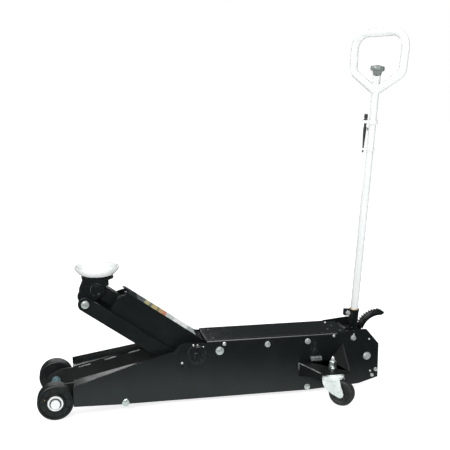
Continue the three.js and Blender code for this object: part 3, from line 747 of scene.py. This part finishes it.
def arm_shaft():
    """The shaft that the arm turns on, with a stepped cap and its weld on each side plate."""
    cap = [(0, 0), (36, 0), (37, 1), (37, 7), (34.5, 9.6), (30, 10.4), (26, 10.2), (24, 8.4), (14, 8.4),
           (12, 10), (10, 12), (0, 12)]
    end = facing_y(lathe(cap, 96), beside(ARM, -PLATE_Y - 0.2))
    seam = ring_bead(beside(ARM, -PLATE_Y - 1.2), 38.3, 2.6)
    bar = facing_y(disc(22, 0, PLATE_Y, steps=64), beside(ARM, 0))
    piece("arm_pivot", both_sides(joined(end, seam, bar)), BLACK, "chassis", ("arm_shaft",))
    # Three small bright zinc nipples above the cap: partly grease nipples, partly painted highlight
    # standing in for the glints on the cap's weld.
    nipples = []
    for x, z, size in ((-15, 42, 1.0), (2, 42, 0.7), (26, 33, 0.6)):
        spout = lathe([(r * size, h * size) for r, h in NIPPLE], 24)
        nipples.append(facing_y(spout, (ARM.x + x, -PLATE_Y, ARM.z + z)))
    piece("pivot_nipple_glints", both_sides(joined(*nipples)), ZINC, "chassis")


def link_pins():
    def build():
        head = facing_y(disc(14, 0, 6, edge=1.6), beside(LINK_TAIL, -PLATE_Y - 4))
        shank = facing_y(disc(11, 0, 44, steps=40), beside(LINK_TAIL, -PLATE_Y + 40))
        collar = facing_y(disc(20, 0, 12.3), beside(LINK_TAIL, -69.4))
        return joined(head, shank, collar)

    pair("link_pin", build, BLACK, "chassis", "link_pivot_pin")


def end_shafts():
    """The handle's and the pedal's shafts, with a bolt head at each end, and the handle's nipples."""
    bar = facing_y(disc(11, 0, PLATE_Y, steps=40), beside(HANDLE, 0))
    piece("handle_pivot", both_sides(bar), INNER, "chassis", ("handle_shaft",))
    handle_head = facing_y(hex_bolt(9.8, 7, 11.2), beside(HANDLE, -PLATE_Y - 0.2))
    nipple = shifted(lathe(NIPPLE, 24), HANDLE.x, -PLATE_Y - 5.5, HANDLE.z + 7)
    piece("handle_pivot_ends", both_sides(joined(handle_head, nipple)), ZINC, "chassis")
    pedal_head = facing_y(hex_bolt(11, 6.5, 16.5, 2.4), beside(PEDAL, -PLATE_Y - 0.2))
    bar = facing_y(disc(10, 0, PLATE_Y, steps=40), beside(PEDAL, 0))
    piece("pedal_pivot", both_sides(joined(pedal_head, bar)), ZINC, "chassis", ("pedal_shaft",))


def cross_members():
    low, high = span("cross_tube")
    middle = (low + high) / 2
    radius = (high.z - low.z) / 2
    wall = [(radius - 2.5, 0), (radius, 0), (radius, high.y - low.y), (radius - 2.5, high.y - low.y)]
    tube = facing_y(lathe(wall, 56), beside(middle, high.y))
    ends = ring_bead(beside(middle, high.y - 1.5), radius + 1, 2.2)
    tube = joined(tube, ends, copied(ends, MIRROR))
    piece("front_cross_tube", tube, INNER, "chassis", ("cross_tube",))
    dressed("back_plate", "rear_plate", BLACK, "chassis", bevel=1.2)


def front_axle():
    low, high = span("front_axle")
    middle = (low + high) / 2
    radius = 11
    bar = [(0, low.y), (radius - 1.5, low.y), (radius, low.y + 1.5), (radius, high.y - 1.5),
           (radius - 1.5, high.y), (0, high.y)]
    shapes = [facing_y(lathe(bar, 56), beside(middle, 0))]
    for sign in (-1, 1):
        for start, end in ((92.2, 108.7), (60, 81.7)):
            collar = disc(19, 0, end - start, edge=1.4)
            shapes.append(facing_y(collar, beside(middle, sign * start), sign))
    piece("wheel_axle", joined(*shapes), AXLE, "chassis", ("front_axle",))


# ---------- Front wheels ----------
def front_wheel():
    low, high = span("front_wheel_near")
    radius = (high.z - low.z) / 2
    width = high.y - low.y
    rim = radius - 9
    profile = [
        (11.4, 0), (20, 0), (24, 5), (54, 5), (rim, 1), (radius - 5, 0), (radius - 2, 1.6),
        (radius - 0.6, 5), (radius, 11), (radius, width - 11), (radius - 0.6, width - 5),
        (radius - 2, width - 1.6), (radius - 5, width), (rim + 1, width - 0.6), (rim - 1, width - 4),
        (rim - 3, width - 8), (40, width - 8), (37.5, width - 5), (36, width - 0.6), (34.5, width),
        (11.4, width),
    ]
    wheel = lathe(profile, 120)
    ribs = spun(block(37, rim - 2, -1.8, 1.8, width - 9, width - 4.6), 10, 0.16)
    centre = (low.x + radius, high.y, low.z + radius)
    return facing_y(joined(wheel, *ribs), centre)


def front_wheels():
    pair("cast_wheel", front_wheel, WHEEL, "wheel_{}", "front_wheel", bevel=0.5)
    low, high = span("front_wheel_near")
    radius = (high.z - low.z) / 2
    centre = Vector((low.x + radius, low.y, low.z + radius))

    def plug():
        turn = radians(161)
        place = centre + Vector((41.5 * cos(turn), 8, 41.5 * sin(turn)))
        return facing_y(button_screw(4.2, 4.5), place)

    pair("wheel_plug", plug, BRASS, "wheel_{}")


def axle_caps():
    low, high = span("axle_cap_near")
    centre = ((low.x + high.x) / 2, high.y, (low.z + high.z) / 2)
    depth = high.y - low.y

    def washer():
        profile = [(11.3, 0), (28.5, 0), (29.5, 1), (29.5, 3), (28.5, 4), (24, 4.4), (23, 3.4), (17.6, 3.4),
                   (17.6, depth - 2), (15.6, depth), (9, depth), (8, depth - 1.6), (0, depth - 1.6), (0, 0)]
        return facing_y(lathe(profile, 96), centre)

    # A dark open ring round the foot of the raised hub, in black plastic: partly a retaining clip, partly
    # painted shade standing in for the shadowed gap round the hub.
    def clip_shade_ring():
        points = [(x, 5.4, z) for x, z in arc(0, 0, 19.9, -50, 232, 60)]
        ring = swept(points, 2.2, 12)
        return moved(ring, Matrix.Translation((centre[0], centre[1] - 10.6, centre[2])))

    pair("axle_washer", washer, WHITE, "chassis", "axle_cap")
    pair("axle_clip_shade_ring", clip_shade_ring, PLASTIC, "chassis")


# ---------- Lift arm, links, yoke and saddle ----------
def lift_arm():
    dressed_pair("arm_wall", "arm_side", BLACK, "lift_arm", bevel=1.2)
    dressed("arm_top", "arm_top_plate", BLACK, "lift_arm", bevel=0.9)
    dressed("arm_head", "arm_knuckle", BLACK, "lift_arm", bevel=2.0, segments=3)
    dressed("arm_root", "arm_hub", INNER, "lift_arm", bevel=1.0)
    dressed("arm_film", "arm_label", LABEL, "lift_arm", bevel=0.25)


def arm_welds():
    """Weld round the front corner of each arm wall, in the arm's own frame."""
    def build():
        slope = bead((366, -43.6, 49), (383, -43.6, 31), 2.4)
        front = bead((384, -44.5, 30), (390, -44.5, 18), 2.2)
        crest = bead((379, -50, 51), (370, -36, 51), 2.2)
        seams = joined(slope, front, crest)
        return moved(joined(seams, copied(seams, MIRROR)), ARM_FRAME)

    piece("arm_weld", build(), BLACK, "lift_arm")


def links():
    low, high = span("link_near")
    tilt = degrees(atan2(arm_run.z, -arm_run.x))

    def build():
        head = arc(LINK_HEAD.x, LINK_HEAD.z, 28, 270 - tilt, 90 - tilt, 28)
        tail = arc(LINK_TAIL.x, LINK_TAIL.z, 28, 90 - tilt, -90 - tilt, 28)
        return prism(head + tail, low.y, high.y)

    pair("lift_link", build, BLACK, "radius_link_{}", "link", bevel=2.2, segments=3)


def yoke():
    dressed("saddle_yoke", "yoke", BLACK, "saddle_yoke", bevel=1.8)

    def welds():
        low, high = span("yoke")
        under = high.z - 12.4
        along = bead((low.x + 22, -41.5, under), (high.x - 26, -41.5, under), 2.6)
        collar = ring_bead(beside(HEAD, -40.6), 24.5, 2.3, 30, 330)
        return joined(along, collar)

    piece("yoke_weld", both_sides(welds()), BLACK, "saddle_yoke")


def yoke_pins():
    head = [(0, 0), (18, 0), (19, 1), (19, 5), (18, 6), (15, 6), (14, 4.6), (14, 4.6), (6, 4.6),
            (5, 7.4), (0, 7.4)]
    end = facing_y(lathe(head, 64), beside(HEAD, -40.3))
    bar = facing_y(disc(13, 0, 41, steps=48), beside(HEAD, 0))
    piece("head_pin", both_sides(joined(end, bar)), BLACK, "saddle_yoke", ("yoke_pin",))
    clip = [(HEAD.x + x, -46.4, HEAD.z + z) for x, z in arc(0, 0, 16, 60, 350, 50)]
    piece("head_pin_clip", both_sides(swept(clip, 1.3, 10)), BLACK, "saddle_yoke")
    outer = span("link_head_pin")[0].y + 8.2
    bolt = facing_y(hex_bolt(14.5, 6.6, 16, 1.6), beside(LINK_HEAD, outer))
    spacer = facing_y(disc(18, 0, 16.4), beside(LINK_HEAD, -40.3))
    shank = facing_y(disc(11, 0, 72, steps=40), beside(LINK_HEAD, 0))
    bolt = both_sides(joined(bolt, spacer, shank))
    piece("link_bolt", bolt, ZINC, "saddle_yoke", ("link_head_pin",))


def saddle():
    low, high = span("saddle")
    radius = (high.x - low.x) / 2
    centre = ((low.x + high.x) / 2, 0, 0)
    top = high.z
    floor = top - 18
    profile = [
        (0, top - 51), (13, top - 51), (14, top - 50), (14, top - 34.7), (52, top - 34.7),
        (62, top - 32.8), (70, top - 28), (77, top - 21), (82.5, top - 14), (86.3, top - 8),
        (radius - 0.4, top - 3), (radius, top - 1.6), (radius - 0.8, top), (radius - 5, top),
        (radius - 6.5, top - 1.2), (radius - 13, top - 9), (radius - 20, top - 14.5),
        (64, floor + 0.8), (60, floor), (24, floor), (22, floor - 1.4), (9, floor - 1.4),
        (7, floor), (0, floor)]
    dish = lathe(profile, 128)
    ridge = swept([(66, 0, floor - 1), (70, 0, floor + 1.2), (76, 0, floor + 6)], 2.6, 12)
    ridges = spun(ridge, 8, 0.2)
    shape = shifted(joined(dish, *ridges), *centre)
    piece("saddle_dish", shape, WHITE, "saddle_dish", ("saddle",), bevel=0.4)


# ---------- Power unit ----------
def along_x(bm, x, y, z):
    return moved(bm, Matrix.Translation((x, y, z)) @ Matrix.Rotation(radians(90), 4, "Y"))


def power_unit():
    low, high = span("cylinder")
    middle = (low + high) / 2
    length = high.x - low.x
    barrel = [
        (23.6, 0), (44, 0), (49, 3), (49, 18), (47, 20), (44.5, 20), (44, 22), (44, length - 16),
        (46.5, length - 14), (46.5, length), (0, length), (0, length - 15), (23.6, length - 15)]
    barrel = along_x(lathe(barrel, 96), low.x, 0, middle.z)
    piece("ram_cylinder", barrel, IRON, "chassis", ("cylinder",), bevel=0.6)
    dressed("tank_shell", "oil_tank", INNER, "chassis", bevel=3.0, segments=3)
    low, high = span("oil_tank")
    plug = shifted(hex_bolt(9, 7, 12), (low.x + high.x) / 2 + 90, 34, high.z)
    piece("tank_plug", plug, ZINC, "chassis")
    dressed("pump_body", "pump_block", IRON, "chassis", bevel=1.6)
    low, high = span("pump_block")
    screws = []
    for y in (-40, 40):
        for x in (low.x + 14, low.x + 60):
            screws.append(shifted(hex_bolt(7, 5.5, 9, 1.2), x, y, high.z))
    piece("pump_screws", joined(*screws), INNER, "chassis")
    dressed("ram_rod", "ram", CHROME, "ram_rod", bevel=1.2)
    low, high = span("ram_pin")
    middle = (low + high) / 2
    pin = disc(middle.z - low.z, 0, high.y - low.y, edge=1.4, steps=48)
    pin = facing_y(pin, beside(middle, high.y))
    piece("ram_cross_pin", pin, ZINC, "ram_rod", ("ram_pin",))


def pump_parts():
    low, high = span("pump_plunger")
    middle = (low + high) / 2
    length = high.x - low.x
    rod = [(0, 0), (8, 0), (9, 1), (9, length - 9), (17, length - 9), (18, length - 8), (18, length - 2),
           (16.5, length), (0, length)]
    rod = along_x(lathe(rod, 56), low.x, 0, middle.z)
    piece("plunger_rod", rod, IRON, "plunger", ("pump_plunger",))
    dressed("valve_stem", "release_valve", ZINC, "valve", bevel=0.8)


# ---------- Handle ----------
def handle_socket():
    dressed("tube_socket", "handle_socket", BLACK, "handle", bevel=1.2)
    clip = disc(21.6, 0, 3.4, bore=16.4, edge=0.8)
    piece("socket_ring", shifted(clip, 0, 0, 93.4), BRASS, "handle", place=HANDLE_FRAME)
    bolt = facing_y(hex_bolt(9.5, 6, 10.5, 1.4), (-31, -12.1, 80))
    nut = facing_y(hex_bolt(9.5, 6, 10.5, 1.4, stub=4.6), (-31, 12.1, 80), 1)
    bolt = joined(bolt, nut)
    piece("socket_clamp_bolt", bolt, ZINC, "handle", ("clamp_bolt",), place=HANDLE_FRAME)


def handle_tube():
    tube = lathe([(12.6, 9), (15.3, 9), (15.8, 9.5), (15.8, 1076.2), (15, 1077), (12.6, 1077)], 72)
    piece("long_tube", tube, WHITE, "handle", ("handle_tube",), place=HANDLE_FRAME)


def rounded_corner(before, corner, after, radius):
    """Replaces a corner of a path with an arc that meets both straight runs."""
    b = (Vector(before) - Vector(corner)).normalized()
    a = (Vector(after) - Vector(corner)).normalized()
    half = acos(b.dot(a)) / 2
    start = b * (radius / tan(half))
    centre = (b + a).normalized() * (radius / sin(half))
    turn = pi - 2 * half
    from_centre = start - centre
    if from_centre.x * (a.y - b.y) - from_centre.y * (a.x - b.x) < 0:
        turn = -turn
    steps = 14
    points = []
    for i in range(steps + 1):
        angle = turn * i / steps
        c, s = cos(angle), sin(angle)
        rotated = Vector((from_centre.x * c - from_centre.y * s, from_centre.x * s + from_centre.y * c))
        points.append(Vector(corner) + centre + rotated)
    return points


VEE = 1014  # height of the loop's V up the handle


def loop_path():
    """The grip loop's middle line: a hexagon with rounded corners, its point at the tube."""
    low_half, top_half, low, top, skew = 126, 132, 1091, 1252, 4.5
    corners = [(0, VEE), (low_half, low), (top_half, top + skew), (-top_half, top - skew), (-low_half, low)]
    path = [Vector((0, VEE))]
    for i in range(1, 5):
        after = corners[(i + 1) % 5]
        radius = 65 if corners[i][1] > low else 36
        path += rounded_corner(corners[i - 1], corners[i], after, radius)
    path.append(Vector((-2, VEE + 2 * (low - VEE) / low_half)))
    return path


def vee_seam(side):
    """Where the loop's lower run meets the tube: round the tube, dipping at its front and back."""
    points = []
    for i in range(61):
        angle = pi * i / 60 - pi / 2
        c, s = cos(angle), sin(angle)
        points.append((side * 16.6 * c, 16.6 * s, VEE + 17 * c * c + 11 * (c - 0.4)))
    return points


def grip_loop():
    path = [(u, 0, w) for u, w in loop_path()]
    turn = HANDLE_FRAME @ Matrix.Rotation(LOOP_TURN, 4, "Z")
    loop = swept(path, 15.9, 40)
    seams = [swept(vee_seam(side), 1.9, 10, ripple=0.28, every=3) for side in (-1, 1)]
    piece("loop_bar", joined(loop, *seams), WHITE, "handle", ("grip_loop",), place=turn)


def fluted(bm, depth, beyond=0.0):
    """Pinches a round shape in fourteen places, leaving what lies inside a radius as it is."""
    for vert in bm.verts:
        if hypot(vert.co.x, vert.co.y) > beyond:
            angle = atan2(vert.co.y, vert.co.x)
            pinch = 1 - depth * (0.5 + 0.5 * cos(14 * angle))
            vert.co.x *= pinch
            vert.co.y *= pinch
    return bm


def release_knob():
    profile = [(0, 1098), (24, 1098), (27.5, 1099.5), (29.3, 1103), (29.3, 1113), (27, 1117),
               (12, 1119.5), (10, 1121), (0, 1121)]
    knob = fluted(lathe(profile, 84), 0.055, beyond=23)
    neck = lathe([(0, 1080), (15.5, 1080), (16.5, 1081), (20.5, 1099), (0, 1099)], 84)
    neck = fluted(neck, 0.04)
    rod = disc(5, 12, 1082, steps=24)
    shape = joined(knob, neck, rod)
    piece("knob_grip", shape, KNOB, "knob", ("release_knob",), bevel=0.6, place=HANDLE_FRAME)


def latch():
    dressed("latch_holder", "latch_bracket", WHITE, "handle", bevel=0.9)
    dressed("latch_eye", "latch_guide", WHITE, "handle", bevel=0.9)
    rod = lathe([
        (0, 764), (2.6, 764), (3, 765), (3.2, 790), (3.4, 792), (6.6, 858), (6.6, 865), (5, 869), (5, 904),
        (7.5, 906), (7.5, 920), (6, 922), (0, 922)], 40)
    hook = swept([(4, 0, 862), (10, 0, 866), (13, 0, 862), (13, 0, 854)], 2, 12)
    pull = swept([(-9, 0, 899), (9, 0, 901)], 2.2, 12)
    shape = shifted(joined(rod, hook, pull), -30, 0, 0)
    piece("latch_rod", shape, PLASTIC, "latch", ("latch_plunger",), bevel=0.4, place=HANDLE_FRAME)


# ---------- Foot pedal ----------
def foot_pedal():
    low, high = span("foot_pedal")
    x, z = PEDAL.x + 103, PEDAL.z + 57
    outer = []
    for i in range(10):
        start = 162 - 7.6 * i
        outer += arc(x, z, 91.5, start, start - 3.2, 2)
        outer += arc(x, z, 98, start - 3.6, start - 6.8, 3)
    tip = [(x + 20, z + 93), (x + 21, z + 86), (x + 10, z + 80)]
    inner = arc(x, z, 79, 85, 163, 28)
    horn = prism(outer + tip + inner, low.y, high.y)
    hook = swept([(x - 80, 45, z + 30), (x - 75, 45, z + 27), (x - 73, 45, z + 20)], 3, 14)
    seam = bead((PEDAL.x + 14, 35, PEDAL.z + 88), (PEDAL.x + 27, 35, PEDAL.z + 82), 2)
    shape = joined(horn, pedal_stem(), hook, seam)
    piece("pedal_horn", shape, BLACK, "pedal", ("foot_pedal",), bevel=0.7)


def pedal_stem():
    hub = arc(PEDAL.x, PEDAL.z, 19, 165, 345, 24)
    stem = prism(hub + [(PEDAL.x + 27, PEDAL.z + 85), (PEDAL.x + 14, PEDAL.z + 90)], 36, 54)
    bore = facing_y(disc(10.6, -5, 60, steps=40), beside(PEDAL, 65))
    return cut(stem, bore)


# ---------- Casters ----------
def caster_frame():
    """The near caster's own frame: local X trails from the swivel's axis towards the wheel."""
    swivel = pivot("caster_near_swivel")
    wheel = pivot("caster_near_roll")
    trail = Vector((wheel.x - swivel.x, wheel.y - swivel.y, 0))
    along = trail.normalized()
    return axes(along, UP.cross(along), UP, (swivel.x, swivel.y, 0)), trail.length, wheel.z


CASTER_FRAME, TRAIL, CASTER_R = caster_frame()


def caster_brackets():
    low = span("caster_bracket_near")[0]
    # The brackets wear the darker copy of the enamel, which is painted shade.
    dressed_pair("outrigger", "caster_bracket", PAINTED_SHADE_BLACK, "chassis", bevel=2.4, segments=3)

    def lug():
        """The small bright block on the bracket, with two shallow grooves."""
        x0, x1 = low.x + 49, low.x + 95
        body = block(x0, x1, -112.6, -98.4, 147.5, 161.6)
        grooves = [block(x0 + 4, x1 - 4, -125, -111.4, z, z + 2) for z in (150.6, 155.4)]
        return cut(body, *grooves)

    pair("bracket_lug", lug, ZINC, "chassis", bevel=0.6)

    def rim():
        """A pale strip along the front of the shelf, a painted highlight for the light its edge catches,
        and the weld down from its inner end.
        """
        start, end = Vector((low.x, -98.4, 137.5)), Vector((low.x + 51, -236, 137.5))
        return joined(swept([start, end], 2.3, 12), bead(start, start + Vector((3, 0, -40)), 2))

    pair("bracket_painted_highlight", rim, PALE_WELD_HIGHLIGHT, "chassis")

    def seam():
        """The weld that holds the leaning gusset to the side plate."""
        return bead((low.x + 141, -98.4, 141), (low.x + 194, -98.4, 207), 1.8)

    pair("gusset_weld", seam, BLACK, "chassis")


def caster_studs():
    def stud():
        return lathe([(0, 96), (10, 96), (10, 176), (8, 178), (8, 184), (6.4, 192), (3.4, 197.4),
                      (0, 198)], 48)

    def nut():
        base = shifted(disc(16, 0, 11.8, edge=1.6), 0, 0, 140.2)
        return joined(base, shifted(hex_bolt(15, 17.5, 15.5, 2.4), 0, 0, 158))

    pair("swivel_stud", stud, ZINC, "chassis", "caster_stud", place=CASTER_FRAME)
    pair("swivel_nut", nut, DARK_ZINC, "chassis", place=CASTER_FRAME)


def caster_forks():
    def build():
        top = 118
        race = lathe([(10.6, top - 2), (38, top - 2), (44, top + 0.5), (45, top + 2), (45, top + 5),
                      (42, top + 6.6), (39.4, top + 6.8), (39.4, top + 8.2), (38, top + 12), (36, top + 13),
                      (10.6, top + 13)], 96)
        skirt = lathe([(40, top - 9), (41.4, top - 9), (43.5, top - 4), (44.4, top), (42, top),
                       (41, top - 4)], 96)
        outline = [(-34, top), (-33.4, 100), (-31, 88), (-26, 78), (-17, 67), (-5, 58), (10, 49)]
        outline += arc(TRAIL, CASTER_R, 14, 232, 375, 16)
        outline += [(50, 68), (44, 84), (41, 100), (36, top)]
        leg = prism(outline, -29, -25)
        bolt = facing_y(hex_bolt(9.2, 5.5, 10.5, 1.4), (TRAIL, -29.1, CASTER_R))
        nut = facing_y(hex_bolt(9.2, 5, 10.5, 1.4, stub=4.4), (TRAIL, 29.1, CASTER_R), 1)
        axle = facing_y(disc(6, 0, 58, steps=32), (TRAIL, 29, CASTER_R))
        return joined(race, skirt, leg, copied(leg, MIRROR), bolt, nut, axle)

    pair("swivel_fork", build, PALE_ZINC, "fork_{}", "caster_fork", place=CASTER_FRAME, bevel=1.1)


def caster_wheels():
    def build():
        r, h = CASTER_R, 18
        profile = [
            (6.4, -h - 4), (13, -h - 4), (15, -h - 2), (16, -h + 5), (31, -h + 5), (33, -h + 2), (36, -h),
            (r - 6, -h), (r - 2.4, -h + 2), (r - 0.5, -h + 7), (r, -h + 14)]
        profile += [(radius, -height) for radius, height in reversed(profile)]
        wheel = lathe(profile, 112)
        ribs = spun(block(14, 33, -1.4, 1.4, -h + 1.5, h - 1.5), 8)
        return facing_y(joined(wheel, *ribs), (TRAIL, 0, CASTER_R))

    pair("swivel_wheel", build, TREAD, "caster_{}", "caster_wheel", place=CASTER_FRAME, bevel=0.5)


for make in (
    side_plates, shelf_welds, link_ears, top_cover, tie_bolts, nose_bolt, small_fasteners, arm_shaft,
    link_pins, end_shafts, cross_members, front_axle, front_wheels, axle_caps, lift_arm, arm_welds,
    links, yoke, yoke_pins, saddle, power_unit, pump_parts, handle_socket, handle_tube, grip_loop,
    release_knob, latch, foot_pedal, caster_brackets, caster_studs, caster_forks, caster_wheels,
):
    make()


# ---------- Stage: pale floor, soft studio light ----------
def floor():
    """A pale floor that takes soft shadows near the jack and fades into the white beyond."""
    bpy.ops.mesh.primitive_plane_add(size=60)
    plane = bpy.context.object
    plane.name = "floor"
    look = Look("floor", (0.5, 0.5, 0.5), 0.9)
    fill(look.shader, {"Specular IOR Level": 0.1, "Emission Color": (1, 1, 1, 1)})
    distance = look.new("VectorMath")
    distance.operation = "LENGTH"
    look.link(look.coordinates.outputs["Object"], distance.inputs[0])
    glow = look.spread(distance.outputs["Value"], 0.8, 1.0, 1.0, 2.4)
    look.link(glow, look.shader.inputs["Emission Strength"])
    plane.data.materials.append(look.material)
    plane.visible_glossy = False


def mirrored_floor():
    """What the paint mirrors of the floor: pale close to the jack, dark further out and aft."""
    out = 4.1  # how far off the near side the middle of the card lies
    bpy.ops.mesh.primitive_plane_add(size=8, location=(0, -out, 0.002))
    card = bpy.context.object
    card.name = "mirrored_floor"
    card.visible_camera = False
    card.visible_diffuse = False
    card.visible_shadow = False
    look = Look("mirrored_floor", (0, 0, 0), 1.0)
    fill(look.shader, {"Specular IOR Level": 0.0, "Emission Color": (0.88, 1.0, 0.98, 1)})
    place = look.new("VectorMath")
    place.operation = "DOT_PRODUCT"
    place.inputs[1].default_value = (0.35, -1, 0)
    look.link(look.coordinates.outputs["Object"], place.inputs[0])
    strength = look.spread(place.outputs["Value"], 0.62, 0.0, 0.25 - out, 0.7 - out)
    look.link(strength, look.shader.inputs["Emission Strength"])
    card.data.materials.append(look.material)


def soft_light(name, location, target, width, height, power, mirrored=True):
    data = bpy.data.lights.new(name, "AREA")
    data.shape = "RECTANGLE"
    data.size = width
    data.size_y = height
    data.energy = power
    light = bpy.data.objects.new(name, data)
    light.location = location
    light.rotation_euler = (Vector(target) - Vector(location)).to_track_quat("-Z", "Y").to_euler()
    light.visible_camera = False
    light.visible_glossy = mirrored
    bpy.context.scene.collection.objects.link(light)


def world():
    """White to look at, and a dark room for light and reflections."""
    backdrop = bpy.data.worlds.new("studio")
    bpy.context.scene.world = backdrop
    backdrop.use_nodes = True
    nodes = backdrop.node_tree.nodes
    links = backdrop.node_tree.links
    room = fill(nodes["Background"], {"Color": (0.9, 0.95, 1.0, 1), "Strength": 0.05})
    white = fill(nodes.new("ShaderNodeBackground"), {"Color": (1, 1, 1, 1), "Strength": 1.0})
    path = nodes.new("ShaderNodeLightPath")
    mix = nodes.new("ShaderNodeMixShader")
    links.new(path.outputs["Is Camera Ray"], mix.inputs["Fac"])
    links.new(room.outputs["Background"], mix.inputs[1])
    links.new(white.outputs["Background"], mix.inputs[2])
    links.new(mix.outputs["Shader"], nodes["World Output"].inputs["Surface"])


floor()
mirrored_floor()
world()
soft_light("key", (-2.0, -3.2, 2.8), (0, 0, 0.4), 2.2, 1.6, 150)
soft_light("overhead", (0.2, 0.2, 3.4), (0, 0, 0.2), 3.2, 2.2, 115)
soft_light("fill", (3.0, -2.6, 1.6), (0.2, 0, 0.5), 1.4, 1.8, 45, mirrored=False)
soft_light("near_shelf_glow", (-0.5, 6.0, 4.15), (-0.42, 0, 0.13), 2.8, 1.3, 32)
soft_light("far_shelf_glow", (-0.5, 6.0, 0.85), (-0.42, 0, 0.13), 2.8, 1.1, 26)
bpy.context.scene.view_settings.view_transform = "Standard"
